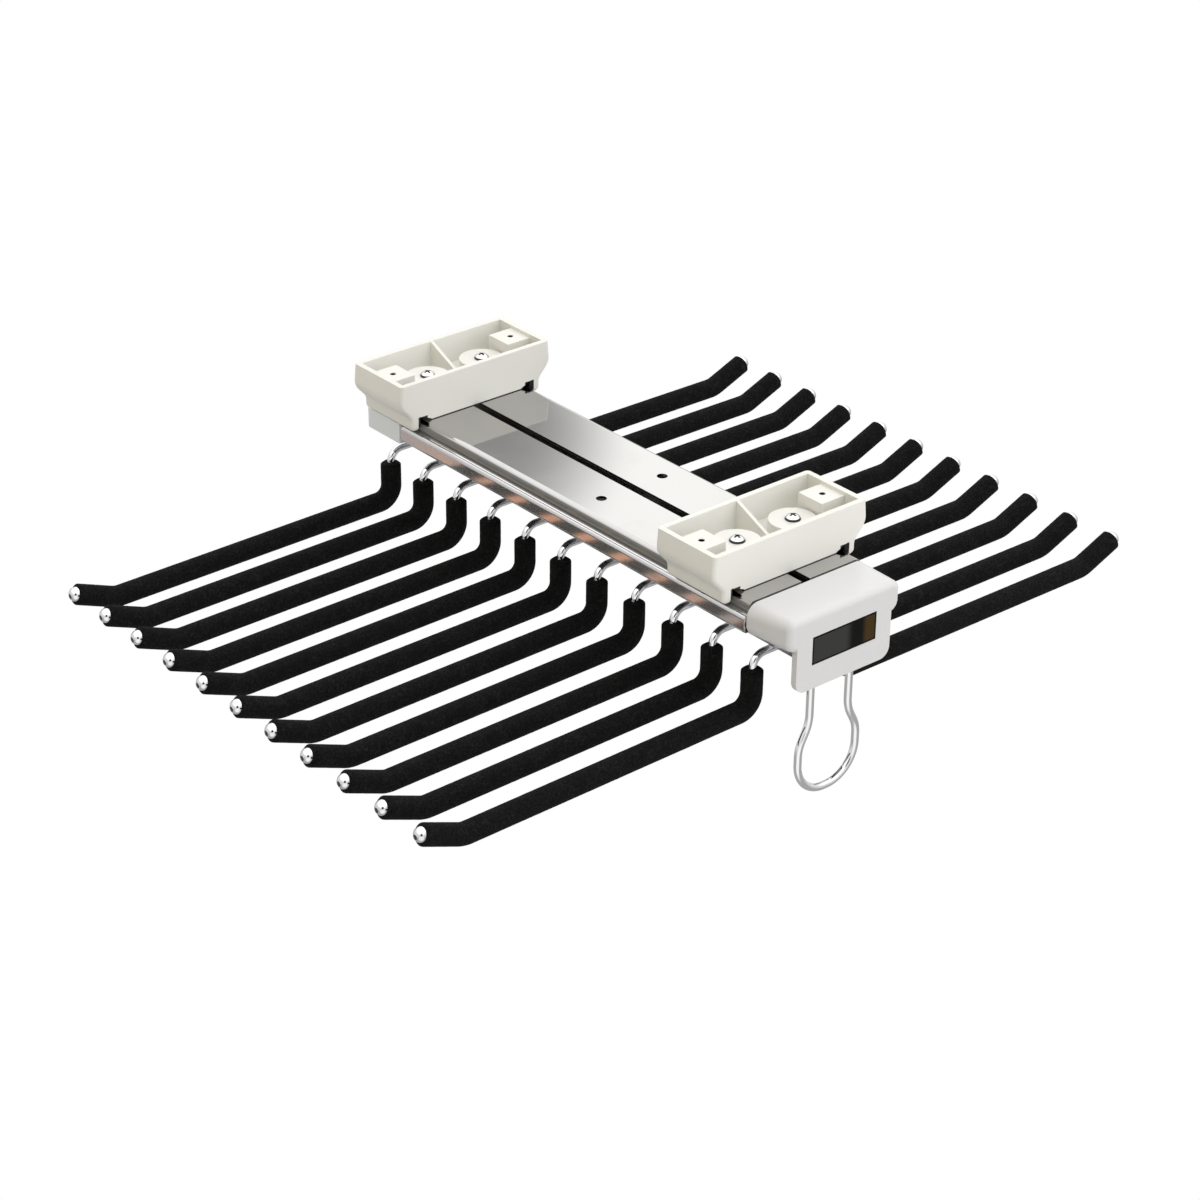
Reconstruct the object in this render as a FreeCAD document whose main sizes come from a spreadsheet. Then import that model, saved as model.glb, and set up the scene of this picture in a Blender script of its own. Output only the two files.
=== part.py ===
import FreeCAD, Part
import math
import os
from types import SimpleNamespace

import Sketcher
from FreeCAD import Rotation, Vector

# A pull-out trouser rack that hangs under a cabinet panel. Two tray brackets carry a fixed rail.
# A channel wraps the rail's sides, runs on two rows of balls and carries eleven bent wires,
# whose sleeved arms reach out to the left and the right. +X points to the right-hand arms,
# -Y to the front and +Z up. The origin is the middle of the four cabinet screw holes, level
# with the pads that they open in.

SIZES = [
    # The two tray brackets and their cabinet screw holes
    ("hole_spacing_along", 242.0, "cabinet screw holes, from front to back"),
    ("cabinet_hole_diameter", 3.2, "cabinet screw hole"),
    ("cabinet_hole_depth", 16.0, "cabinet screw hole, below its pad"),
    ("bracket_overhang", 13.0, "bracket's rim beyond the rail, at each side"),
    ("bracket_belly", 1.1, "bracket's sides beyond its rim, where they start to draw in"),
    ("hole_inset", 10.0, "cabinet screw holes inside the rim's ends"),
    ("bracket_belly_rounding", 8.0, "rounding of the bracket's sides at the belly"),
    ("bracket_depth", 41.5, "bracket from front to back"),
    ("bracket_height", 23.1, "bracket rim above the rail"),
    ("bracket_wall", 3.0, "wall of the bracket's tray"),
    ("bracket_slope_top", 12.3, "depth below the rim where the sides draw in"),
    ("bracket_slope_bottom", 20.2, "depth below the rim where the legs start"),
    ("bracket_leg_thickness", 6.5, "leg of a bracket"),
    ("bracket_leg_root", 6.0, "rounding where the sides pass into the legs"),
    ("bracket_leg_gap", 0.3, "leg beside the rail"),
    ("bracket_leg_drop", 4.2, "leg below the rail's top"),
    ("bracket_leg_rounding", 3.0, "rounding of the leg's lower edges"),
    ("bracket_seat_inset", 6.0, "flat seat inside the rail's sides"),
    ("bracket_relief_step", 0.8, "relief beside the seat, above the rail"),
    ("bracket_relief_height", 3.2, "relief beside the leg, above the rail"),
    ("bracket_corner_rounding", 2.2, "rounding of the bracket's upright corners"),
    ("tray_depth", 15.7, "tray floor below the rim"),
    ("tray_shoulder_depth", 11.5, "depth where the tray's sides draw in"),
    ("pad_recess", 1.8, "screw pads below the rim"),
    ("pad_width", 15.0, "screw pad from the tray's side inwards"),
    ("pad_setback", 9.5, "screw pads off the tray's front and back walls"),
    ("screw_boss_diameter", 24.0, "raised boss under a bracket screw"),
    ("screw_boss_depth", 8.0, "screw boss below the rim"),
    ("rib_thickness", 1.8, "rib across the tray"),
    # The screws and nut plates that hold the brackets on the rail
    ("bracket_screw_spacing", 36.0, "bracket screws, from left to right"),
    ("bracket_screw_ahead", 2.0, "bracket screws ahead of the cabinet screw holes"),
    ("bracket_screw_diameter", 4.0, "bracket screw"),
    ("bracket_screw_length", 20.0, "bracket screw below its head"),
    ("bracket_head_diameter", 8.0, "bracket screw head"),
    ("bracket_head_height", 2.6, "bracket screw head"),
    ("recess_width", 1.1, "arm of the cross recess in a head"),
    ("screw_clearance", 0.25, "screw in a plain hole, at each side"),
    ("thread_clearance", 0.05, "screw in its threaded hole, at each side"),
    ("nut_plate_margin", 9.0, "nut plate beyond its screws"),
    ("nut_plate_width", 14.0, "nut plate from front to back"),
    ("nut_plate_thickness", 2.5, "nut plate"),
    # The fixed rail
    ("rail_width", 72.0, "rail"),
    ("rail_height", 13.1, "rail"),
    ("rail_wall", 1.5, "rail sheet"),
    ("rail_slot", 5.4, "slot along the rail's top"),
    ("rail_top_bend", 3.0, "outer radius of the rail's top edges"),
    ("rail_bottom_bend", 1.8, "outer radius of the rail's bottom edges"),
    ("rail_front", 152.0, "rail's front end ahead of the origin"),
    ("rail_rear", 140.0, "rail's rear end behind the origin"),
    ("spare_hole_spacing", 40.0, "spare holes, from left to right"),
    ("spare_hole_ahead", 25.5, "spare holes ahead of the origin"),
    ("spare_hole_diameter", 5.5, "spare hole"),
    ("stop_tab_length", 1.6, "stop tabs of rail and channel along the travel"),
    ("stop_tab_gap", 0.35, "stop tab off the face that it passes"),
    # The channel that wraps the rail's sides
    ("channel_side_gap", 2.8, "room for the balls between rail and channel"),
    ("channel_height", 9.6, "channel"),
    ("channel_wall", 1.2, "channel sheet"),
    ("channel_drop", 5.5, "channel's lips below the rail's top"),
    ("channel_lip", 3.4, "channel's inward lip"),
    ("channel_top_bend", 2.6, "outer radius of the channel's top edges"),
    ("channel_bottom_bend", 2.0, "outer radius of the channel's bottom edges"),
    ("channel_front", 153.0, "channel's front end ahead of the origin"),
    ("channel_rear", 114.6, "channel's rear end behind the origin"),
    # The two rows of balls
    ("travel", 190.0, "how far the carriage pulls out"),
    ("ball_diameter", 4.0, "bearing ball"),
    ("ball_clearance", 0.05, "ball in its groove and its cage, at each side"),
    ("ball_pitch", 8.6, "ball to ball"),
    ("ball_count", 8, "balls in a row"),
    ("cage_thickness", 0.9, "ball cage"),
    ("cage_height", 6.0, "ball cage"),
    ("cage_end_gap", 0.3, "ball cage before the stop tab, pulled out"),
    # The carrier bar under the channel
    ("carrier_width", 36.0, "carrier bar"),
    ("carrier_height", 16.7, "carrier bar"),
    ("carrier_wall", 1.6, "wall of the carrier bar"),
    ("carrier_bend", 2.2, "outer radius of the carrier bar's edges"),
    ("carrier_front", 168.0, "carrier bar's front end ahead of the origin"),
    ("carrier_rear", 143.0, "carrier bar's rear end behind the origin"),
    ("wire_bed_depth", 1.0, "bed of a wire in the carrier bar"),
    ("rivet_diameter", 3.2, "rivet between channel and carrier bar"),
    ("rivet_head_diameter", 6.0, "rivet head"),
    ("rivet_head_height", 0.5, "rivet head"),
    ("rivet_tail", 1.4, "rivet tail inside the carrier bar"),
    ("rivet_spacing", 18.0, "rivets, from left to right"),
    ("rivet_pitch", 78.0, "rivets, from front to back"),
    # The arms
    ("arm_count", 11, "wires, each with two arms"),
    ("arm_pitch", 28.7, "wire to wire"),
    ("arm_rear", 139.0, "rearmost wire behind the origin"),
    ("wire_diameter", 4.0, "arm wire"),
    ("wire_bend", 7.0, "centreline radius where a wire leaves the carrier bar"),
    ("drop_spacing", 57.6, "upright stretches of a wire, from left to right"),
    ("arm_drop", 28.2, "arm's root below the wire's cross run"),
    ("arm_bend", 8.5, "centreline radius at an arm's root"),
    ("arm_sag", 1.4, "arm's low point below its root"),
    ("turn_spacing", 406.0, "upturns of a pair of arms, from left to right"),
    ("turn_bend", 14.0, "centreline radius at an upturn"),
    ("tip_spacing", 452.0, "sleeve ends of a pair of arms, from left to right"),
    ("tip_angle", 21.9, "rise of an arm's end, in degrees"),
    ("sleeve_diameter", 11.0, "sleeve"),
    ("sleeve_rise", 21.2, "sleeve above an arm's root"),
    ("sleeve_clearance", 0.1, "sleeve round its wire, at each side"),
    ("tip_diameter", 7.6, "domed tip"),
    ("tip_height", 3.4, "domed tip along the wire"),
    ("tip_socket", 1.3, "wire inside its domed tip"),
    # The front cap with its name plate and pull loop
    ("front_cap_inset", 1.5, "front cap's back inside the channel's sides"),
    ("front_cap_taper", 2.6, "how far the front cap's sides draw in towards its face"),
    ("front_cap_front", 179.8, "front cap's face ahead of the origin"),
    ("front_cap_step", 0.4, "front cap below the rail's top"),
    ("front_cap_drop", 2.3, "front cap's sides below the channel"),
    ("front_cap_back_rounding", 7.0, "rounding of the front cap's sides at its back"),
    ("front_cap_brow_rounding", 4.6, "rounding of the upper sides at its face"),
    ("front_cap_jowl_rounding", 6.4, "rounding of the lower sides at its face"),
    ("front_cap_edge", 3.4, "rounding of the edges round the front cap's face"),
    ("front_cap_wall", 2.4, "wall of the front cap"),
    ("tongue_inset", 5.4, "tongue inside the front cap's face, at each side"),
    ("tongue_drop", 24.8, "tongue below the channel"),
    ("tongue_thickness", 3.4, "tongue"),
    ("tongue_corner", 6.0, "rounding of the tongue's corners"),
    ("plate_width", 41.2, "name plate"),
    ("plate_height", 14.8, "name plate"),
    ("plate_thickness", 1.2, "name plate"),
    ("plate_top", 11.8, "name plate's upper edge below the front cap's top"),
    ("plate_gap", 0.1, "name plate in its recess, at each side"),
    ("loop_wire_diameter", 3.9, "pull loop wire"),
    ("loop_setback", 8.2, "pull loop behind the front cap's face"),
    ("loop_leg_spacing", 25.2, "legs of the pull loop"),
    ("loop_width", 38.0, "pull loop's ring, along its centreline"),
    ("loop_drop", 64.3, "pull loop's lowest centreline below the tongue"),
    ("loop_socket", 9.0, "pull loop's legs inside the tongue"),
    ("loop_clearance", 0.1, "pull loop's legs in their holes, at each side"),
    ("loop_flat", 1.0, "straight stretch each side of the ring's lowest point"),
    ("loop_neck_bend", 13.0, "centreline radius where the legs spread"),
    # The rear cap
    ("rear_cap_overlap", 0.5, "rear cap beyond the channel's sides"),
    ("rear_cap_length", 29.4, "rear cap along the rail"),
    ("rear_cap_rise", 0.7, "rear cap above the channel's lips"),
    ("rear_cap_drop", 1.1, "rear cap's cheeks below the channel"),
    ("rear_cap_gap", 0.4, "rear cap beside the rail"),
    ("rear_cap_corner", 3.2, "rounding of the rear cap's upright corners"),
    ("rear_cap_foot", 5.0, "width of the cheeks' lower edge"),
    # The plugs and screws that hold both caps on the carrier bar
    ("plug_length", 18.0, "cap's plug inside the carrier bar"),
    ("plug_gap", 0.15, "cap's plug in the carrier bar, at each side"),
    ("cap_screw_spacing", 18.0, "cap screws, from left to right"),
    ("cap_screw_setback", 13.0, "cap screws behind the carrier bar's end"),
    ("cap_screw_diameter", 2.8, "cap screw"),
    ("cap_screw_length", 10.0, "cap screw above its head"),
    ("cap_head_diameter", 5.4, "cap screw head"),
    ("cap_head_height", 1.8, "cap screw head"),
    ("buffer_gap", 0.3, "front buffer before the rail, pushed in"),
    ("buffer_width", 48.0, "front buffer"),
    ("buffer_height", 2.6, "front buffer"),
    ("buffer_seat", 1.0, "front buffer's recess in the front cap"),
    # Lengths that help to cut, join and pick
    ("overrun", 0.5, "how far cuts and joins run past a face"),
    ("match_slack", 0.1, "how close to its place an edge lies when it is picked"),
]

# Heights of the pull loop's corners above its lowest centreline, as shares of its width
LOOP_SHOULDER_SHARE = 0.663
LOOP_NECK_SHARE = 0.892


class Measure:
    """A length, angle or count with both its number and the sheet formula that gives it."""

    def __init__(self, number, formula):
        self.number = number
        self.formula = formula

    @staticmethod
    def wrap(value):
        if isinstance(value, Measure):
            return value
        return Measure(value, f"({value})")

    def joined(self, other, sign, number):
        return Measure(number, f"({self.formula} {sign} {other.formula})")

    def __add__(self, other):
        other = Measure.wrap(other)
        return self.joined(other, "+", self.number + other.number)

    def __sub__(self, other):
        other = Measure.wrap(other)
        return self.joined(other, "-", self.number - other.number)

    def __mul__(self, other):
        other = Measure.wrap(other)
        return self.joined(other, "*", self.number * other.number)

    def __truediv__(self, other):
        other = Measure.wrap(other)
        return self.joined(other, "/", self.number / other.number)

    def __neg__(self):
        return Measure(-self.number, f"(0 - {self.formula})")


def half(size):
    return size / 2


def sine(angle):
    return Measure(math.sin(math.radians(angle.number)), f"sin({angle.formula})")


def cosine(angle):
    return Measure(math.cos(math.radians(angle.number)), f"cos({angle.formula})")


def tangent(angle):
    return Measure(math.tan(math.radians(angle.number)), f"tan({angle.formula})")


# The document and its sheet of driving sizes

doc = FreeCAD.newDocument("sliding_wardrobe_hanger")
sheet = doc.addObject("Spreadsheet::Sheet", "Sizes")
for row, (alias, number, meaning) in enumerate(SIZES, start=1):
    sheet.set(f"A{row}", meaning)
    sheet.set(f"B{row}", str(number))
    sheet.setAlias(f"B{row}", alias)
doc.recompute()

size = SimpleNamespace(**{alias: Measure(number, f"Sizes.{alias}") for alias, number, _ in SIZES})
ZERO = Measure(0, "(0)")
RIGHT_ANGLE = Measure(90, "(90)")

# Levels and ends that several pieces share

rim_top = size.pad_recess
tray_floor = rim_top - size.tray_depth
boss_top = rim_top - size.screw_boss_depth
rail_top = rim_top - size.bracket_height
rail_bottom = rail_top - size.rail_height
rail_side = half(size.rail_width)
rail_front = -size.rail_front
rail_rear = size.rail_rear
lip_top = rail_top - size.channel_drop
lip_bottom = lip_top - size.channel_wall
channel_bottom = lip_top - size.channel_height
channel_floor = channel_bottom + size.channel_wall
channel_front = -size.channel_front
channel_rear = size.channel_rear
channel_inside = rail_side + size.channel_side_gap
channel_side = channel_inside + size.channel_wall
carrier_bottom = channel_bottom - size.carrier_height
carrier_front = -size.carrier_front
carrier_rear = size.carrier_rear

rim_x = rail_side + size.bracket_overhang
hole_x = rim_x - size.hole_inset
bracket_places = {"front_bracket": -half(size.hole_spacing_along),
                  "rear_bracket": half(size.hole_spacing_along)}

ball_radius = half(size.ball_diameter)
ball_x = half(rail_side + channel_inside)
ball_z = half(lip_bottom + channel_floor)
groove_radius = ball_radius + size.ball_clearance
tab_reach = size.channel_side_gap - size.stop_tab_gap

wire_radius = half(size.wire_diameter)
cross_run_z = carrier_bottom + size.wire_bed_depth - wire_radius
arm_root_z = cross_run_z - size.arm_drop
arm_low_z = arm_root_z - size.arm_sag
sleeve_top_z = arm_root_z + size.sleeve_rise
sleeve_end_x = half(size.tip_spacing)
sleeve_end_z = arm_low_z + (sleeve_end_x - half(size.turn_spacing)) * tangent(size.tip_angle)
wire_end_x = sleeve_end_x + size.tip_socket * cosine(size.tip_angle)
wire_end_z = sleeve_end_z + size.tip_socket * sine(size.tip_angle)

front_cap_top = rail_top - size.front_cap_step
front_cap_side_bottom = channel_bottom - size.front_cap_drop
front_cap_front = -size.front_cap_front
front_cap_back_x = channel_side - size.front_cap_inset
front_cap_face_x = front_cap_back_x - size.front_cap_taper
tongue_bottom = channel_bottom - size.tongue_drop
loop_y = front_cap_front + size.loop_setback
rear_cap_back = channel_rear + size.rear_cap_length


def screw_line(centre_y):
    """Place of a bracket's screws along the rail."""
    return centre_y - size.bracket_screw_ahead


def arm_y(index):
    """Place of a wire along the rail, counted from the rear."""
    return size.arm_rear - size.arm_pitch * index


# How objects are tied to the sheet, placed and joined

def tie(thing, formulas):
    for path, measure in formulas.items():
        thing.setExpression(path, Measure.wrap(measure).formula)


def place(thing, x=ZERO, y=ZERO, z=ZERO):
    tie(thing, {"Placement.Base.x": x, "Placement.Base.y": y, "Placement.Base.z": z})
    return thing


def turn(thing, axis, angle):
    """Turn an object about an axis by an angle from the sheet."""
    thing.Placement.Rotation = Rotation(axis, angle.number)
    tie(thing, {"Placement.Rotation.Angle": angle})
    return thing


def new_object(kind, name, formulas):
    thing = doc.addObject(kind, name)
    thing.Label = name
    tie(thing, formulas)
    return thing


def box(name, low, high):
    """A block between two corners, each a triple of measures."""
    spans = [top - bottom for bottom, top in zip(low, high)]
    block = new_object("Part::Box", name, dict(zip(("Length", "Width", "Height"), spans)))
    return place(block, *low)


def cylinder(name, radius, height, x, y, bottom):
    rod = new_object("Part::Cylinder", name, {"Radius": radius, "Height": height})
    return place(rod, x, y, bottom)


def fused(name, pieces):
    whole = new_object("Part::MultiFuse", name, {})
    whole.Shapes = pieces
    return whole


def cut(name, base, tool):
    rest = new_object("Part::Cut", name, {})
    rest.Base = base
    rest.Tool = tool
    return rest


def group(name, pieces):
    """Like pieces that stay separate solids under one name."""
    whole = new_object("Part::Compound", name, {})
    whole.Links = pieces
    return whole


# Sketches: outlines are lists of corners, (x, y) where sharp and (x, y, radius) where rounded

def rectangle(left, right, bottom, top, radius=None):
    places = [(left, bottom), (right, bottom), (right, top), (left, top)]
    return places if radius is None else [(x, y, radius) for x, y in places]


def mirrored(right_side):
    """Close an outline whose right half is given from top to bottom."""
    left_side = [(-corner[0],) + tuple(corner[1:]) for corner in reversed(right_side)]
    return right_side + left_side


def pin_point(sketch, geometry, point, x, y):
    """Hold a point at its distances from the sketch's origin."""
    for kind, measure in (("DistanceX", x), ("DistanceY", y)):
        constraint = Sketcher.Constraint(kind, -1, 1, geometry, point, measure.number)
        index = sketch.addConstraint(constraint)
        sketch.setExpression(f"Constraints[{index}]", measure.formula)


def set_radius(sketch, geometry, radius):
    index = sketch.addConstraint(Sketcher.Constraint("Radius", geometry, radius.number))
    sketch.setExpression(f"Constraints[{index}]", radius.formula)


def corner_bend(before, corner, after, radius):
    """The arc that rounds a corner: its two ends, the arc itself and whether it turns left."""
    back = (before - corner).normalize()
    onward = (after - corner).normalize()
    half_opening = back.getAngle(onward) / 2
    reach = radius / math.tan(half_opening)
    middle = (back + onward).normalize()
    centre = corner + middle * (radius / math.sin(half_opening))
    entry = corner + back * reach
    leave = corner + onward * reach
    turns_left = (corner - before).cross(after - corner).z > 0
    first, last = (entry, leave) if turns_left else (leave, entry)
    start_angle = math.atan2(first.y - centre.y, first.x - centre.x)
    end_angle = math.atan2(last.y - centre.y, last.x - centre.x)
    if end_angle < start_angle:
        end_angle += 2 * math.pi
    arc = Part.ArcOfCircle(Part.Circle(centre, Vector(0, 0, 1), radius), start_angle, end_angle)
    return entry, leave, arc, turns_left


def draw_outline(sketch, corners, closed=True):
    """Draw straight runs through the corners, with tangent arcs where a corner has a radius."""
    count = len(corners)
    places = [Vector(corner[0].number, corner[1].number, 0) for corner in corners]
    bends = {}
    for index, corner in enumerate(corners):
        if len(corner) > 2:
            before = places[index - 1]
            after = places[(index + 1) % count]
            bends[index] = corner_bend(before, places[index], after, corner[2].number)

    runs = []
    for index in range(count if closed else count - 1):
        following = (index + 1) % count
        start = bends[index][1] if index in bends else places[index]
        end = bends[following][0] if following in bends else places[following]
        runs.append(sketch.addGeometry(Part.LineSegment(start, end)))

    for index, corner in enumerate(corners):
        first_end = not closed and index == 0
        last_end = not closed and index == count - 1
        run_in = None if first_end else runs[index - 1]
        run_out = None if last_end else runs[index]
        if index not in bends:
            if run_in is not None and run_out is not None:
                sketch.addConstraint(Sketcher.Constraint("Coincident", run_in, 2, run_out, 1))
            held, point = (run_in, 2) if run_out is None else (run_out, 1)
            pin_point(sketch, held, point, corner[0], corner[1])
            continue
        arc = sketch.addGeometry(bends[index][2])
        mark = sketch.addGeometry(Part.Point(places[index]), True)
        entry, leave = (1, 2) if bends[index][3] else (2, 1)
        sketch.addConstraint([
            Sketcher.Constraint("Tangent", run_in, 2, arc, entry),
            Sketcher.Constraint("Tangent", arc, leave, run_out, 1),
            Sketcher.Constraint("PointOnObject", mark, 1, run_in),
            Sketcher.Constraint("PointOnObject", mark, 1, run_out),
        ])
        set_radius(sketch, arc, corner[2])
        pin_point(sketch, mark, 1, corner[0], corner[1])


def draw_circles(sketch, circles):
    for x, y, radius in circles:
        centre = Vector(x.number, y.number, 0)
        ring = sketch.addGeometry(Part.Circle(centre, Vector(0, 0, 1), radius.number))
        set_radius(sketch, ring, radius)
        pin_point(sketch, ring, 3, x, y)


# Bodies: each feature extrudes a sketch that lies square to one axis

def new_body(name):
    return new_object("PartDesign::Body", name, {})


def body_sketch(body, name, role, offset, outlines, circles):
    sketch = body.newObject("Sketcher::SketchObject", f"{body.Name}_{name}_sketch")
    plane = next(feature for feature in body.Origin.OriginFeatures if feature.Role == role)
    sketch.AttachmentSupport = [(plane, "")]
    sketch.MapMode = "FlatFace"
    tie(sketch, {"AttachmentOffset.Base.z": offset})
    for corners in outlines:
        draw_outline(sketch, corners)
    draw_circles(sketch, circles)
    return sketch


def extruded(body, kind, name, sketch, length):
    feature = body.newObject(f"PartDesign::{kind}", f"{body.Name}_{name}")
    feature.Profile = sketch
    tie(feature, {"Length": length})
    return feature


def pad_forward(body, name, outlines, back, front, circles=()):
    """Add outlines in X and Z, from a place at the back to one further forward."""
    sketch = body_sketch(body, name, "XZ_Plane", -back, outlines, circles)
    return extruded(body, "Pad", name, sketch, back - front)


def cut_backward(body, name, outlines, front, back, circles=()):
    """Cut outlines in X and Z, from a place at the front to one further back."""
    sketch = body_sketch(body, name, "XZ_Plane", -front, outlines, circles)
    return extruded(body, "Pocket", name, sketch, back - front)


def pad_up(body, name, outlines, bottom, top, circles=()):
    sketch = body_sketch(body, name, "XY_Plane", bottom, outlines, circles)
    return extruded(body, "Pad", name, sketch, top - bottom)


def cut_down(body, name, outlines, top, bottom, circles=()):
    sketch = body_sketch(body, name, "XY_Plane", top, outlines, circles)
    return extruded(body, "Pocket", name, sketch, top - bottom)


def pad_right(body, name, outlines, left, right, circles=()):
    """Add outlines in Y and Z, from a place at the left to one further right."""
    sketch = body_sketch(body, name, "YZ_Plane", left, outlines, circles)
    return extruded(body, "Pad", name, sketch, right - left)


def cut_left(body, name, outlines, right, left, circles=()):
    sketch = body_sketch(body, name, "YZ_Plane", right, outlines, circles)
    return extruded(body, "Pocket", name, sketch, right - left)


def round_edges(body, name, base, radius, chosen):
    """Round the edges of a feature that a test on their middle and direction picks."""
    doc.recompute()
    picked = []
    for index, edge in enumerate(base.Shape.Edges, start=1):
        span = edge.Vertexes[-1].Point - edge.Vertexes[0].Point
        if chosen(edge.CenterOfMass, span):
            picked.append(f"Edge{index}")
    feature = body.newObject("PartDesign::Fillet", f"{body.Name}_{name}")
    feature.Base = (base, picked)
    tie(feature, {"Radius": radius})
    return feature


def near(number, measure):
    return abs(number - measure.number) < size.match_slack.number


# The fixed part

def bracket(name, centre_y):
    """A tray bracket: screw pads at its ends, a rib, a floor and two legs astride the rail."""
    body = new_body(name)
    half_depth = half(size.bracket_depth)
    inner_depth = half_depth - size.bracket_wall
    belly_x = rim_x + size.bracket_belly
    leg_inner_x = rail_side + size.bracket_leg_gap
    legs_x = leg_inner_x + size.bracket_leg_thickness
    seat_x = rail_side - size.bracket_seat_inset
    belly_z = rim_top - size.bracket_slope_top
    legs_z = rim_top - size.bracket_slope_bottom
    leg_bottom = rail_top - size.bracket_leg_drop
    shell = pad_forward(body, "shell", [mirrored([
        (rim_x, rim_top),
        (belly_x, belly_z, size.bracket_belly_rounding),
        (legs_x, legs_z, size.bracket_leg_root),
        (legs_x, leg_bottom, size.bracket_leg_rounding),
        (leg_inner_x, leg_bottom, size.bracket_leg_rounding),
        (leg_inner_x, rail_top + size.bracket_relief_height),
        (seat_x, rail_top + size.bracket_relief_step),
        (seat_x, rail_top),
    ])], half_depth, -half_depth)
    round_edges(
        body, "corners", shell, size.bracket_corner_rounding,
        lambda middle, span: (near(abs(middle.y), half_depth) and middle.z < rim_top.number
                              and abs(middle.x) > leg_inner_x.number))

    slope = (belly_x - legs_x) / (belly_z - legs_z)
    tray_side = rim_x - size.bracket_wall
    shoulder_z = rim_top - size.tray_shoulder_depth
    floor_x = tray_side - (shoulder_z - tray_floor) * slope
    cut_backward(body, "tray", [mirrored([
        (tray_side, rim_top + size.overrun),
        (tray_side, shoulder_z),
        (floor_x, tray_floor),
    ])], -inner_depth, inner_depth)

    join = size.overrun
    pad_inner = tray_side - size.pad_width
    pad_reach = inner_depth - size.pad_setback
    pad_up(body, "pads", [
        rectangle(pad_inner, tray_side + join, -pad_reach, pad_reach),
        rectangle(-tray_side - join, -pad_inner, -pad_reach, pad_reach),
    ], tray_floor, ZERO)
    screw_x = half(size.bracket_screw_spacing)
    screw_y = screw_line(ZERO)
    boss_radius = half(size.screw_boss_diameter)
    pad_up(body, "screw_bosses", [], tray_floor - join, boss_top,
           [(screw_x, screw_y, boss_radius), (-screw_x, screw_y, boss_radius)])
    pad_right(body, "rib", [[
        (inner_depth + join, rim_top),
        (inner_depth + join, tray_floor - join),
        (-inner_depth - join, tray_floor - join),
    ]], -half(size.rib_thickness), half(size.rib_thickness))

    hole_radius = half(size.cabinet_hole_diameter)
    cut_down(body, "cabinet_holes", [], ZERO, -size.cabinet_hole_depth,
             [(hole_x, ZERO, hole_radius), (-hole_x, ZERO, hole_radius)])
    screw_hole = half(size.bracket_screw_diameter) + size.screw_clearance
    cut_down(body, "screw_holes", [], rim_top, rail_top - size.overrun,
             [(screw_x, screw_y, screw_hole), (-screw_x, screw_y, screw_hole)])
    return place(body, y=centre_y)


def domed_screw(name, radius, length, head_radius, head_height):
    """A screw that points down from its domed, cross-recessed head."""
    dome = new_object("Part::Ellipsoid", f"{name}_dome",
                      {"Radius1": head_height, "Radius2": head_radius})
    dome.Angle1 = 0
    shank = cylinder(f"{name}_shank", radius, length, ZERO, ZERO, -length)
    blank = fused(f"{name}_blank", [dome, shank])
    reach = half(head_radius)
    arm = half(size.recess_width)
    recess_floor = half(head_height)
    recess_top = head_height + size.overrun
    across = box(f"{name}_recess_across", (-reach, -arm, recess_floor), (reach, arm, recess_top))
    along = box(f"{name}_recess_along", (-arm, -reach, recess_floor), (arm, reach, recess_top))
    return blank, fused(f"{name}_recess", [across, along])


def bracket_screws(name, centre_y, form):
    blank, recess = form
    screws = []
    for side, sign in (("left", -1), ("right", 1)):
        screw = cut(f"{name}_{side}", blank, recess)
        screws.append(place(screw, half(size.bracket_screw_spacing) * sign, screw_line(centre_y),
                            boss_top))
    return group(name, screws)


def nut_plate(name, centre_y):
    """A plate inside the rail with a threaded hole under each bracket screw."""
    top = rail_top - size.rail_wall
    bottom = top - size.nut_plate_thickness
    reach = half(size.bracket_screw_spacing) + size.nut_plate_margin
    side = half(size.nut_plate_width)
    screw_y = screw_line(centre_y)
    blank = box(f"{name}_blank", (-reach, screw_y - side, bottom), (reach, screw_y + side, top))
    bore = half(size.bracket_screw_diameter) + size.thread_clearance
    depth = size.nut_plate_thickness + size.overrun * 2
    holes = [
        cylinder(f"{name}_hole_{side}", bore, depth, half(size.bracket_screw_spacing) * sign,
                 screw_y, bottom - size.overrun)
        for side, sign in (("left", -1), ("right", 1))
    ]
    return cut(name, blank, fused(f"{name}_holes", holes))


def rolled_section(half_width, lip_edge, top, bottom, wall, top_bend, bottom_bend):
    """Outline of a strip rolled to a C that opens upwards between its two lips."""
    inside = half_width - wall
    return mirrored([
        (inside, bottom + wall, bottom_bend - wall),
        (inside, top - wall, top_bend - wall),
        (lip_edge, top - wall),
        (lip_edge, top),
        (half_width, top, top_bend),
        (half_width, bottom, bottom_bend),
    ])


def ball_grooves(body, front, back):
    """Cut the two grooves that the balls run in."""
    cut_backward(body, "grooves", [], front - size.overrun, back + size.overrun,
                 [(ball_x, ball_z, groove_radius), (-ball_x, ball_z, groove_radius)])


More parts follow.
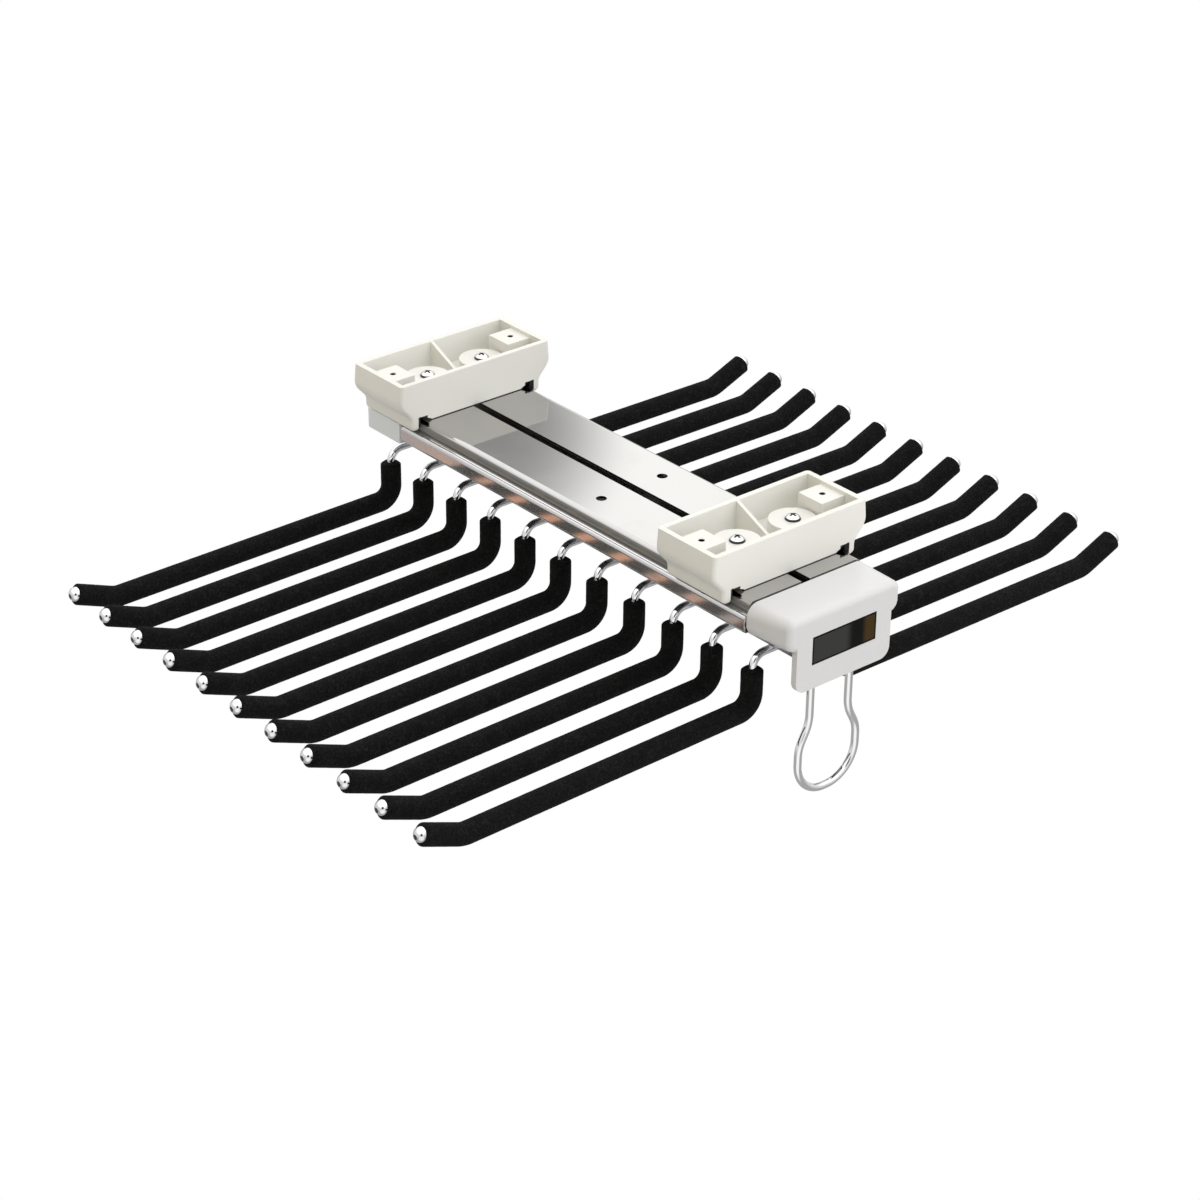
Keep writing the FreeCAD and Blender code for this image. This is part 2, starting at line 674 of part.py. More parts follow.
def fixed_rail():
    body = new_body("fixed_rail")
    section = rolled_section(rail_side, half(size.rail_slot), rail_top, rail_bottom,
                             size.rail_wall, size.rail_top_bend, size.rail_bottom_bend)
    pad_forward(body, "section", [section], rail_rear, rail_front)
    ball_grooves(body, rail_front, rail_rear)

    screw_x = half(size.bracket_screw_spacing)
    screw_hole = half(size.bracket_screw_diameter) + size.screw_clearance
    spare_x = half(size.spare_hole_spacing)
    spare_radius = half(size.spare_hole_diameter)
    holes = [(screw_x * sign, screw_line(centre_y), screw_hole)
             for sign in (-1, 1) for centre_y in bracket_places.values()]
    holes += [(spare_x * sign, -size.spare_hole_ahead, spare_radius) for sign in (-1, 1)]
    cut_down(body, "holes", [], rail_top + size.overrun,
             rail_top - size.rail_wall - size.overrun, holes)

    tab_side = rail_side + tab_reach
    tab_low = ball_z - ball_radius
    tab_high = ball_z + ball_radius
    inside = rail_side - size.rail_wall
    pad_forward(body, "stop_tabs", [
        rectangle(inside, tab_side, tab_low, tab_high),
        rectangle(-tab_side, -inside, tab_low, tab_high),
    ], rail_front + size.stop_tab_length, rail_front)
    return body


# The running gear between rail and channel

cage_front_open = rail_front + size.stop_tab_length + size.cage_end_gap
cage_length = size.ball_pitch * size.ball_count + size.ball_diameter
cage_front = cage_front_open + half(size.travel)
cage_rear = cage_front + cage_length


def ball_y(index):
    margin = half(cage_length - size.ball_pitch * (size.ball_count - 1))
    return cage_front + margin + size.ball_pitch * index


def ball_cage(name, sign):
    """A flat strip with one hole for each ball."""
    body = new_body(name)
    hole_radius = ball_radius + size.ball_clearance
    holes = [(ball_y(index), ball_z, hole_radius) for index in range(int(size.ball_count.number))]
    reach = half(size.cage_height)
    pad_right(body, "strip", [rectangle(cage_front, cage_rear, ball_z - reach, ball_z + reach)],
              ball_x * sign - half(size.cage_thickness), ball_x * sign + half(size.cage_thickness),
              holes)
    return body


def balls(name, sign):
    pieces = []
    for index in range(int(size.ball_count.number)):
        ball = new_object("Part::Sphere", f"{name}_{index + 1}", {"Radius": ball_radius})
        pieces.append(place(ball, ball_x * sign, ball_y(index), ball_z))
    return group(name, pieces)


# The carriage

def rivet_places():
    """Places of the rivets, in two rows about the carrier bar's middle."""
    middle = half(channel_front + channel_rear)
    return [(half(size.rivet_spacing) * sign, middle + size.rivet_pitch * step)
            for sign in (-1, 1) for step in (-1, 0, 1)]


def outer_channel():
    body = new_body("outer_channel")
    section = rolled_section(channel_side, channel_side - size.channel_lip, lip_top, channel_bottom,
                             size.channel_wall, size.channel_top_bend, size.channel_bottom_bend)
    pad_forward(body, "section", [section], channel_rear, channel_front)
    ball_grooves(body, channel_front, channel_rear)
    hole_radius = half(size.rivet_diameter) + size.thread_clearance
    cut_down(body, "rivet_holes", [], channel_floor + size.overrun, channel_bottom - size.overrun,
             [(x, y, hole_radius) for x, y in rivet_places()])
    tab_side = channel_inside - tab_reach
    outside = channel_inside + half(size.channel_wall)
    tab_low = ball_z - ball_radius
    tab_high = ball_z + ball_radius
    pad_forward(body, "stop_tabs", [
        rectangle(tab_side, outside, tab_low, tab_high),
        rectangle(-outside, -tab_side, tab_low, tab_high),
    ], channel_rear, channel_rear - size.stop_tab_length)
    return body


def cap_screw_places(end_y, inward):
    """Places of the two screws that hold a cap's plug, behind the carrier bar's end."""
    return [(half(size.cap_screw_spacing) * sign, end_y + size.cap_screw_setback * inward)
            for sign in (-1, 1)]


def carrier_bar():
    """A box section with a shallow bed across its underside for each wire."""
    body = new_body("carrier_bar")
    side = half(size.carrier_width)
    inner = side - size.carrier_wall
    pad_forward(body, "section", [
        rectangle(-side, side, carrier_bottom, channel_bottom, size.carrier_bend),
        rectangle(-inner, inner, carrier_bottom + size.carrier_wall,
                  channel_bottom - size.carrier_wall, size.carrier_bend - size.carrier_wall),
    ], carrier_rear, carrier_front)
    bed_radius = wire_radius + size.thread_clearance
    beds = [(arm_y(index), cross_run_z, bed_radius) for index in range(int(size.arm_count.number))]
    cut_left(body, "wire_beds", [], side + size.overrun, -side - size.overrun, beds)
    hole_radius = half(size.rivet_diameter) + size.thread_clearance
    cut_down(body, "rivet_holes", [], channel_bottom + size.overrun,
             channel_bottom - size.carrier_wall - size.overrun,
             [(x, y, hole_radius) for x, y in rivet_places()])
    screw_hole = half(size.cap_screw_diameter) + size.thread_clearance
    places = cap_screw_places(carrier_front, 1) + cap_screw_places(carrier_rear, -1)
    cut_down(body, "cap_screw_holes", [], carrier_bottom + size.carrier_wall + size.overrun,
             carrier_bottom - size.overrun, [(x, y, screw_hole) for x, y in places])
    return body


def carrier_rivets():
    radius = half(size.rivet_diameter)
    bottom = channel_bottom - size.carrier_wall - size.rivet_tail
    pieces = []
    for number, (x, y) in enumerate(rivet_places(), start=1):
        name = f"carrier_rivet_{number}"
        head = cylinder(f"{name}_head", half(size.rivet_head_diameter), size.rivet_head_height,
                        x, y, channel_floor)
        shank = cylinder(f"{name}_shank", radius, channel_floor - bottom, x, y, bottom)
        pieces.append(fused(name, [head, shank]))
    return group("carrier_rivets", pieces)


def front_path(name, corners):
    """An open path in X and Z that a round wire follows."""
    path = doc.addObject("Sketcher::SketchObject", name)
    path.Placement.Rotation = Rotation(Vector(1, 0, 0), 90)
    draw_outline(path, corners, closed=False)
    return path


def ring(name, radius, x, z):
    return place(new_object("Part::Circle", name, {"Radius": radius}), x, ZERO, z)


def swept(name, section, path):
    rod = new_object("Part::Sweep", name, {})
    rod.Sections = [section]
    rod.Spine = (path, [])
    rod.Solid = True
    return rod


def arm_corners():
    """Centreline of the right-hand arm, from its root to its upturn."""
    return [
        (half(size.drop_spacing), arm_root_z, size.arm_bend),
        (half(size.turn_spacing), arm_low_z, size.turn_bend),
    ]


def arm_wires():
    """The wires: each is one bent rod from the left tip over the middle to the right tip."""
    right = [(half(size.drop_spacing), cross_run_z, size.wire_bend)] + arm_corners()
    right.append((wire_end_x, wire_end_z))
    left = [(-corner[0],) + tuple(corner[1:]) for corner in reversed(right)]
    path = front_path("arm_wire_path", left + right)
    section = ring("arm_wire_section", wire_radius, -wire_end_x, wire_end_z)
    turn(section, Vector(0, 1, 0), RIGHT_ANGLE + size.tip_angle)
    return [
        place(swept(f"arm_wire_{index + 1:02d}", section, path), y=arm_y(index))
        for index in range(int(size.arm_count.number))
    ]


def sleeves():
    """The sleeves: one tube form, cut once for each arm and turned about for the left side."""
    start = (half(size.drop_spacing), sleeve_top_z)
    path = front_path("sleeve_path", [start] + arm_corners() + [(sleeve_end_x, sleeve_end_z)])
    outer = ring("sleeve_section", half(size.sleeve_diameter), *start)
    inner = ring("sleeve_bore_section", wire_radius + size.sleeve_clearance, *start)
    rod = swept("sleeve_rod", outer, path)
    bore = swept("sleeve_bore", inner, path)
    pieces = []
    for side, angle in (("right", 0), ("left", 180)):
        for index in range(int(size.arm_count.number)):
            sleeve = cut(f"{side}_sleeve_{index + 1:02d}", rod, bore)
            sleeve.Placement.Rotation = Rotation(Vector(0, 0, 1), angle)
            pieces.append(place(sleeve, y=arm_y(index)))
    return pieces


def arm_tips():
    """The domed tips on the wires' ends, one group for each side."""
    dome = new_object("Part::Ellipsoid", "arm_tip_dome",
                      {"Radius1": size.tip_height, "Radius2": half(size.tip_diameter)})
    dome.Angle1 = 0
    socket = cylinder("arm_tip_socket", wire_radius + size.thread_clearance,
                      size.tip_socket + size.overrun * 2, ZERO, ZERO, -size.overrun)
    groups = []
    for side, sign in (("left", -1), ("right", 1)):
        tips = []
        for index in range(int(size.arm_count.number)):
            tip = cut(f"{side}_arm_tip_{index + 1:02d}", dome, socket)
            turn(tip, Vector(0, sign, 0), RIGHT_ANGLE - size.tip_angle)
            tips.append(place(tip, sleeve_end_x * sign, arm_y(index), sleeve_end_z))
        groups.append(group(f"{side}_arm_tips", tips))
    return groups


def plug_outline():
    """Section of a cap's plug, inside the carrier bar."""
    side = half(size.carrier_width) - size.carrier_wall - size.plug_gap
    bottom = carrier_bottom + size.carrier_wall + size.plug_gap
    top = channel_bottom - size.carrier_wall - size.plug_gap
    return rectangle(-side, side, bottom, top, size.carrier_bend - size.carrier_wall)


def buffer_outline():
    """Section of the front buffer, level with the rail's floor."""
    reach = half(size.buffer_width)
    side = half(size.buffer_height)
    middle = rail_bottom + half(size.rail_wall)
    return rectangle(-reach, reach, middle - side, middle + side)


def plug_screw_holes(body, end_y, inward):
    hole = half(size.cap_screw_diameter) + size.thread_clearance
    top = carrier_bottom + size.cap_screw_length + size.overrun
    cut_down(body, "screw_holes", [], top, carrier_bottom - size.overrun,
             [(x, y, hole) for x, y in cap_screw_places(end_y, inward)])


def hood(body):
    """The front cap's hood: a rounded section that tapers towards the cap's face."""
    sections = []
    for name, y, side, upper, lower in (
            ("hood_back", channel_front, front_cap_back_x, size.front_cap_back_rounding,
             size.front_cap_back_rounding),
            ("hood_face", front_cap_front, front_cap_face_x, size.front_cap_brow_rounding,
             size.front_cap_jowl_rounding)):
        outline = mirrored([(side, front_cap_top, upper), (side, front_cap_side_bottom, lower)])
        sections.append(body_sketch(body, name, "XZ_Plane", -y, [outline], ()))
    loft = body.newObject("PartDesign::AdditiveLoft", "front_cap_hood")
    loft.Profile = sections[0]
    loft.Sections = sections[1:]
    return loft


def front_cap():
    """The moulded front: a hollow hood over the channel's end, a tongue and a block behind it."""
    body = new_body("front_cap")
    round_edges(body, "face_edges", hood(body), size.front_cap_edge,
                lambda middle, span: near(middle.y, front_cap_front))
    wall = size.front_cap_wall
    hollow_x = front_cap_face_x - wall
    cut_down(body, "hollow", [
        rectangle(-hollow_x, hollow_x, front_cap_front + wall, channel_front - wall)],
        front_cap_top - wall, front_cap_side_bottom - size.overrun)

    tongue_x = front_cap_face_x - size.tongue_inset
    tongue_root = front_cap_side_bottom + size.front_cap_edge + size.overrun
    pad_forward(body, "tongue", [[
        (-tongue_x, tongue_root),
        (-tongue_x, tongue_bottom, size.tongue_corner),
        (tongue_x, tongue_bottom, size.tongue_corner),
        (tongue_x, tongue_root),
    ]], front_cap_front + size.tongue_thickness, front_cap_front)
    block_x = half(size.carrier_width)
    pad_forward(body, "block", [rectangle(
        -block_x, block_x, tongue_bottom, front_cap_top - wall + size.overrun)],
        carrier_front, front_cap_front + wall - size.overrun)
    pad_forward(body, "plug", [plug_outline()], carrier_front + size.plug_length,
                carrier_front - size.overrun)

    relief_x = half(size.carrier_width) + size.plug_gap
    cut_down(body, "bar_relief", [
        rectangle(-relief_x, relief_x, channel_front - wall - size.overrun,
                  channel_front + size.overrun)],
        channel_bottom, front_cap_side_bottom - size.overrun)
    cut_backward(body, "buffer_seat", [buffer_outline()], channel_front - size.buffer_seat,
                 channel_front + size.overrun)
    plate_x = half(size.plate_width) + size.plate_gap
    plate_z = front_cap_top - size.plate_top
    cut_backward(body, "plate_recess", [rectangle(
        -plate_x, plate_x, plate_z - size.plate_height - size.plate_gap,
        plate_z + size.plate_gap)],
        front_cap_front - size.overrun, front_cap_front + size.plate_thickness)
    leg_x = half(size.loop_leg_spacing)
    leg_hole = half(size.loop_wire_diameter) + size.loop_clearance
    cut_down(body, "loop_sockets", [], tongue_bottom + size.loop_socket,
             tongue_bottom - size.overrun,
             [(leg_x, loop_y, leg_hole), (-leg_x, loop_y, leg_hole)])
    plug_screw_holes(body, carrier_front, 1)
    return body


def name_plate():
    """The blank plate let into the front cap's face."""
    half_width = half(size.plate_width)
    top = front_cap_top - size.plate_top
    return box("name_plate", (-half_width, front_cap_front, top - size.plate_height),
               (half_width, front_cap_front + size.plate_thickness, top))


def pull_loop():
    """A bent wire loop: two legs that spread into a ring."""
    low = tongue_bottom - size.loop_drop
    shoulder = low + size.loop_width * LOOP_SHOULDER_SHARE
    neck = low + size.loop_width * LOOP_NECK_SHARE
    ring_x = half(size.loop_width)
    leg_x = half(size.loop_leg_spacing)
    bend = ring_x - size.loop_flat
    right = [
        (ring_x, low, bend),
        (ring_x, shoulder, bend),
        (leg_x, neck, size.loop_neck_bend),
        (leg_x, tongue_bottom + size.loop_socket),
    ]
    left = [(-corner[0],) + tuple(corner[1:]) for corner in reversed(right)]
    path = front_path("pull_loop_path", left + right)
    section = ring("pull_loop_section", half(size.loop_wire_diameter), -leg_x,
                   tongue_bottom + size.loop_socket)
    return place(swept("pull_loop", section, path), y=loop_y)


def rear_cap():
    """The moulded rear: two cheeks and a floor that let the rail through, over the bar's plug."""
    body = new_body("rear_cap")
    side = channel_side + size.rear_cap_overlap
    inner = rail_side + size.rear_cap_gap
    top = lip_top + size.rear_cap_rise
    bottom = channel_bottom - size.rear_cap_drop
    foot = side - size.rear_cap_foot
    shell = pad_forward(body, "shell", [mirrored([
        (inner, channel_floor),
        (inner, top),
        (side, top),
        (side, bottom),
        (foot, bottom),
        (foot, channel_bottom),
    ])], rear_cap_back, channel_rear)
    round_edges(
        body, "corners", shell, size.rear_cap_corner,
        lambda middle, span: near(abs(middle.x), side) and near(middle.y, rear_cap_back)
        and abs(span.z) > abs(span.x))
    bar_side = half(size.carrier_width)
    pad_forward(body, "end_plate", [rectangle(
        -bar_side, bar_side, carrier_bottom, channel_bottom + size.overrun)],
        rear_cap_back, carrier_rear)
    pad_forward(body, "plug", [plug_outline()], carrier_rear + size.overrun,
                carrier_rear - size.plug_length)
    plug_screw_holes(body, carrier_rear, -1)
    return body


def cap_screws(name, end_y, inward, form):
    """Screws that point up through the carrier bar into a cap's plug."""
    blank, recess = form
    pieces = []
    for (x, y), side in zip(cap_screw_places(end_y, inward), ("left", "right")):
        screw = cut(f"{name}_{side}", blank, recess)
        screw.Placement.Rotation = Rotation(Vector(1, 0, 0), 180)
        pieces.append(place(screw, x, y, carrier_bottom))
    return group(name, pieces)


def front_buffer():
    """A rubber strip on the front cap that meets the floor of the rail's front end."""
    (left, low), (_, _), (right, high), (_, _) = buffer_outline()
    return box("front_buffer", (left, channel_front - size.buffer_seat, low),
               (right, rail_front - size.buffer_gap, high))


def build():
    """Make every sub-part and return them in the order of their nodes."""
    pieces = [fixed_rail()]
    bracket_form = domed_screw("bracket_screw", half(size.bracket_screw_diameter),
                               size.bracket_screw_length, half(size.bracket_head_diameter),
                               size.bracket_head_height)
    for name, centre_y in bracket_places.items():
        pieces.append(bracket(name, centre_y))
        pieces.append(bracket_screws(f"{name}_screws", centre_y, bracket_form))
        pieces.append(nut_plate(f"{name.split('_')[0]}_nut_plate", centre_y))

    for side, sign in (("left", -1), ("right", 1)):
        pieces.append(ball_cage(f"{side}_ball_cage", sign))
        pieces.append(balls(f"{side}_balls", sign))

    pieces += [outer_channel(), carrier_bar(), carrier_rivets()]
    pieces += arm_wires()
    pieces += sleeves()
    pieces += arm_tips()
    cap_form = domed_screw("cap_screw", half(size.cap_screw_diameter), size.cap_screw_length,
                           half(size.cap_head_diameter), size.cap_head_height)
    pieces += [front_cap(), name_plate(), pull_loop(), front_buffer()]
    pieces += [rear_cap()]
    pieces += [cap_screws("front_cap_screws", carrier_front, 1, cap_form)]
    pieces += [cap_screws("rear_cap_screws", carrier_rear, -1, cap_form)]
    return pieces


def check_document(pieces):
    """Stop if any object failed, any cut removed nothing or any piece is not a sound solid."""
    doc.recompute()
    for thing in doc.Objects:
        if "Invalid" in thing.State or "Error" in thing.State:
            raise RuntimeError(f"{thing.Name} failed: {thing.State}")
        if thing.TypeId == "PartDesign::Pocket":
            removed = thing.BaseFeature.Shape.Volume - thing.Shape.Volume
            if removed <= 0:
                raise RuntimeError(f"{thing.Name} cuts nothing")
    for piece in pieces:
        if piece.Shape.isNull() or not piece.Shape.isValid() or not piece.Shape.Solids:
            raise RuntimeError(f"{piece.Label} has no sound shape")


pieces = build()
check_document(pieces)
os.makedirs("parts", exist_ok=True)
for piece in pieces:
    piece.Shape.exportStep(f"parts/{piece.Label}.step")
print(f"{len(pieces)} nodes written")
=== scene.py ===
import logging
import math
from dataclasses import dataclass, field
from enum import Enum

import bpy
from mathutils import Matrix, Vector


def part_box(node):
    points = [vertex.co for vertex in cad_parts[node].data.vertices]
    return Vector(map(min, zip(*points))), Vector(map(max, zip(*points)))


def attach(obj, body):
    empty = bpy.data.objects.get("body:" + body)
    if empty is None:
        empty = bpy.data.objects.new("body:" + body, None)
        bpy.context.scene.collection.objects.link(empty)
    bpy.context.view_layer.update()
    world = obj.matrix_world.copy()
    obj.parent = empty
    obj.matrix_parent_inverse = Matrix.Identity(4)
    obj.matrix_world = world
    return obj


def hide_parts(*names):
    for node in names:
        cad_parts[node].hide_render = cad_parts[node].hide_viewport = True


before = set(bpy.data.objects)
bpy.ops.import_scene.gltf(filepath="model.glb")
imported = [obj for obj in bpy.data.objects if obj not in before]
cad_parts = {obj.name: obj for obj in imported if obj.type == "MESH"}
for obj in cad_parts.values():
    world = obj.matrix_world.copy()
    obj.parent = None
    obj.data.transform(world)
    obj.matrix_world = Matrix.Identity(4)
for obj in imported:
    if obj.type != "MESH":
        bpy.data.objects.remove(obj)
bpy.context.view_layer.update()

MM = 0.001
RAIL_LOW, RAIL_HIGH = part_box("fixed_rail")
CHANNEL_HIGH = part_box("outer_channel")[1]
TIP_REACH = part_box("right_arm_tips")[1].x
PLATE_LOW, PLATE_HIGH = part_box("name_plate")

log = logging.getLogger("wardrobe_rack")

Colour = tuple[float, float, float]
Point = tuple[float, float, float]


class Body(Enum):
    """The groups of the rack that finished pieces ride on."""

    FIXED = "fixed_part"
    CARRIAGE = "carriage"


class Side(Enum):
    """The two sides that the arms reach out to."""

    LEFT = -1
    RIGHT = 1


# Node trees


class Tree:
    """A node tree with short calls for adding nodes, linking them and setting their inputs."""

    def __init__(self, tree: bpy.types.NodeTree) -> None:
        """Wrap a tree.

        Args:
            tree: a shader or geometry node tree.
        """
        self.tree = tree

    def add(self, kind: str, settings: dict | None = None, **inputs) -> bpy.types.Node:
        """Add a node.

        Args:
            kind: the node's type.
            settings: properties of the node.
            inputs: its inputs by name, with "_" for a space; each a value or a socket to link.

        Returns:
            The new node.
        """
        node = self.tree.nodes.new(kind)
        for name, value in (settings or {}).items():
            setattr(node, name, value)
        for name, value in inputs.items():
            self.feed(node, name.replace("_", " "), value)
        return node

    def feed(self, node: bpy.types.Node, name: str | int, value: object) -> None:
        """Link a socket to an input, or set the input's value.

        Args:
            node: the node that has the input.
            name: the input's name or index.
            value: a socket or a plain value.
        """
        socket = node.inputs[name]
        if isinstance(value, bpy.types.NodeSocket):
            self.tree.links.new(value, socket)
        else:
            socket.default_value = value

    def math(self, operation: str, *values: object) -> bpy.types.NodeSocket:
        """Add a Math node and return its result.

        Args:
            operation: the operation's name.
            values: the numbers or sockets that it takes.

        Returns:
            The result's socket.
        """
        node = self.tree.nodes.new("ShaderNodeMath")
        node.operation = operation
        for index, value in enumerate(values):
            self.feed(node, index, value)
        return node.outputs[0]

    def vector(self, operation: str, *values: object) -> bpy.types.Node:
        """Add a Vector Math node.

        Args:
            operation: the operation's name.
            values: the vectors or sockets that it takes.

        Returns:
            The node.
        """
        node = self.tree.nodes.new("ShaderNodeVectorMath")
        node.operation = operation
        for index, value in enumerate(values):
            self.feed(node, index, value)
        return node

    def mix(self, factor: object, first: object, second: object) -> bpy.types.NodeSocket:
        """Mix two colours.

        Args:
            factor: share of the second colour.
            first: colour or socket.
            second: colour or socket.

        Returns:
            The mixed colour's socket.
        """
        node = self.tree.nodes.new("ShaderNodeMix")
        node.data_type = "RGBA"
        self.feed(node, 0, factor)
        self.feed(node, 6, first)
        self.feed(node, 7, second)
        return node.outputs[2]

    def span(self, value: object, low: float, high: float, to_low: float = 0.0,
             to_high: float = 1.0, smooth: bool = False) -> bpy.types.NodeSocket:
        """Map a range of values to another range, clamped.

        Args:
            value: the socket to map.
            low: start of its range.
            high: end of its range.
            to_low: what the start becomes.
            to_high: what the end becomes.
            smooth: whether the ramp eases in and out.

        Returns:
            The mapped value's socket.
        """
        node = self.tree.nodes.new("ShaderNodeMapRange")
        node.interpolation_type = "SMOOTHSTEP" if smooth else "LINEAR"
        for index, item in enumerate((value, low, high, to_low, to_high)):
            self.feed(node, index, item)
        return node.outputs[0]


def opaque(colour: Colour) -> tuple[float, float, float, float]:
    """Give a colour its fourth number."""
    return (*colour, 1.0)


def new_group(name: str, kind: str, inputs: list[tuple], outputs: list[tuple]) -> tuple:
    """Start a node group with named sockets.

    Args:
        name: the group's name.
        kind: the tree's type.
        inputs: (name, socket type, default) of each input.
        outputs: (name, socket type) of each output.

    Returns:
        The group, its Tree, its input node and its output node.
    """
    group = bpy.data.node_groups.new(name, kind)
    for title, socket, default in inputs:
        item = group.interface.new_socket(name=title, in_out="INPUT", socket_type=socket)
        if default is not None:
            item.default_value = default
    for title, socket in outputs:
        group.interface.new_socket(name=title, in_out="OUTPUT", socket_type=socket)
    tree = Tree(group)
    return group, tree, tree.add("NodeGroupInput"), tree.add("NodeGroupOutput")


FLOAT = "NodeSocketFloat"
COLOUR = "NodeSocketColor"
VECTOR = "NodeSocketVector"
GEOMETRY = "NodeSocketGeometry"
MATERIAL = "NodeSocketMaterial"
INTEGER = "NodeSocketInt"


# Effects that several materials share

SCRATCH_DEPTH_SHARE = 0.02
CLUMP_TONE_SHARE = 0.75
CLUMP_HEIGHT_SHARE = 0.6
FAR = 1.0


class Effects:
    """Shader groups for grain, smudges, flock and shaded places, each built once."""

    def __init__(self) -> None:
        """Build the groups."""
        self.grain = self.build_grain()
        self.smudge = self.build_smudge()
        self.flock = self.build_flock()
        self.shade = self.build_shade()

    @staticmethod
    def build_shade() -> bpy.types.NodeTree:
        """A mask that is 1 between two levels, within a range of distances from an upright line.

        Returns:
            The group.
        """
        group, tree, start, end = new_group("shaded_place", "ShaderNodeTree", [
            ("Vector", VECTOR, None), ("Line", VECTOR, (0.0, 0.0, 0.0)),
            ("Axes", VECTOR, (1.0, 0.0, 0.0)), ("Inner", FLOAT, -FAR), ("Outer", FLOAT, FAR),
            ("Low", FLOAT, -FAR), ("High", FLOAT, FAR),
        ], [("Mask", FLOAT)])
        level = tree.add("ShaderNodeSeparateXYZ", Vector=start.outputs["Vector"]).outputs["Z"]
        folded = tree.vector("ABSOLUTE", start.outputs["Vector"])
        away = tree.vector("SUBTRACT", folded.outputs["Vector"], start.outputs["Line"])
        flat = tree.vector("MULTIPLY", away.outputs["Vector"], start.outputs["Axes"])
        distance = tree.vector("LENGTH", flat.outputs["Vector"]).outputs["Value"]
        mask = tree.math("MULTIPLY", tree.math("GREATER_THAN", distance, start.outputs["Inner"]),
                         tree.math("LESS_THAN", distance, start.outputs["Outer"]))
        above = tree.math("GREATER_THAN", level, start.outputs["Low"])
        below = tree.math("LESS_THAN", level, start.outputs["High"])
        mask = tree.math("MULTIPLY", mask, tree.math("MULTIPLY", above, below))
        tree.feed(end, "Mask", mask)
        return group

    @staticmethod
    def build_grain() -> bpy.types.NodeTree:
        """Fine moulding grain with slow changes of tone.

        Returns:
            The group.
        """
        group, tree, start, end = new_group("moulding_grain", "ShaderNodeTree", [
            ("Vector", VECTOR, None), ("Colour", COLOUR, opaque((0.8, 0.8, 0.8))),
            ("Tint", COLOUR, opaque((0.7, 0.68, 0.6))), ("Tone", FLOAT, 0.2),
            ("Roughness", FLOAT, 0.35), ("Roughness Spread", FLOAT, 0.06),
            ("Grain Scale", FLOAT, 2200.0), ("Tone Scale", FLOAT, 26.0),
        ], [("Colour", COLOUR), ("Roughness", FLOAT), ("Height", FLOAT)])
        slow = tree.add("ShaderNodeTexNoise", Vector=start.outputs["Vector"],
                        Scale=start.outputs["Tone Scale"], Detail=3.0, Roughness=0.55)
        fine = tree.add("ShaderNodeTexNoise", Vector=start.outputs["Vector"],
                        Scale=start.outputs["Grain Scale"], Detail=2.0, Roughness=0.6)
        blotch = tree.span(slow.outputs["Fac"], 0.35, 0.75, smooth=True)
        share = tree.math("MULTIPLY", blotch, start.outputs["Tone"])
        colour = tree.mix(share, start.outputs["Colour"], start.outputs["Tint"])
        wander = tree.math("SUBTRACT", slow.outputs["Fac"], 0.5)
        spread = tree.math("MULTIPLY", wander, start.outputs["Roughness Spread"])
        roughness = tree.math("ADD", start.outputs["Roughness"], spread)
        tree.feed(end, "Colour", colour)
        tree.feed(end, "Roughness", roughness)
        tree.feed(end, "Height", fine.outputs["Fac"])
        return group

    @staticmethod
    def build_smudge() -> bpy.types.NodeTree:
        """Polish: drawn lines, faint smudges and a slow waviness.

        Returns:
            The group.
        """
        group, tree, start, end = new_group("metal_polish", "ShaderNodeTree", [
            ("Vector", VECTOR, None), ("Colour", COLOUR, opaque((0.8, 0.8, 0.8))),
            ("Tint", COLOUR, opaque((0.7, 0.68, 0.66))), ("Roughness", FLOAT, 0.08),
            ("Smudge", FLOAT, 0.05), ("Lines", FLOAT, 0.02),
            ("Stretch", VECTOR, (900.0, 6.0, 900.0)), ("Waviness", FLOAT, 0.0),
            ("Wave Scale", FLOAT, 14.0),
        ], [("Colour", COLOUR), ("Roughness", FLOAT), ("Height", FLOAT)])
        drawn = tree.vector("MULTIPLY", start.outputs["Vector"], start.outputs["Stretch"])
        lines = tree.add("ShaderNodeTexNoise", Vector=drawn.outputs["Vector"], Scale=1.0,
                         Detail=3.0, Roughness=0.6)
        patches = tree.add("ShaderNodeTexNoise", Vector=start.outputs["Vector"], Scale=38.0,
                           Detail=5.0, Roughness=0.62)
        wave = tree.add("ShaderNodeTexNoise", Vector=start.outputs["Vector"],
                        Scale=start.outputs["Wave Scale"], Detail=1.0)
        dull = tree.span(patches.outputs["Fac"], 0.48, 0.7, smooth=True)
        smudge = tree.math("MULTIPLY", dull, start.outputs["Smudge"])
        streak = tree.math("MULTIPLY", lines.outputs["Fac"], start.outputs["Lines"])
        roughness = tree.math("ADD", tree.math("ADD", start.outputs["Roughness"], smudge), streak)
        colour = tree.mix(dull, start.outputs["Colour"], start.outputs["Tint"])
        swell = tree.math("MULTIPLY", wave.outputs["Fac"], start.outputs["Waviness"])
        scratches = tree.math("MULTIPLY", lines.outputs["Fac"], SCRATCH_DEPTH_SHARE)
        tree.feed(end, "Colour", colour)
        tree.feed(end, "Roughness", roughness)
        tree.feed(end, "Height", tree.math("ADD", swell, scratches))
        return group

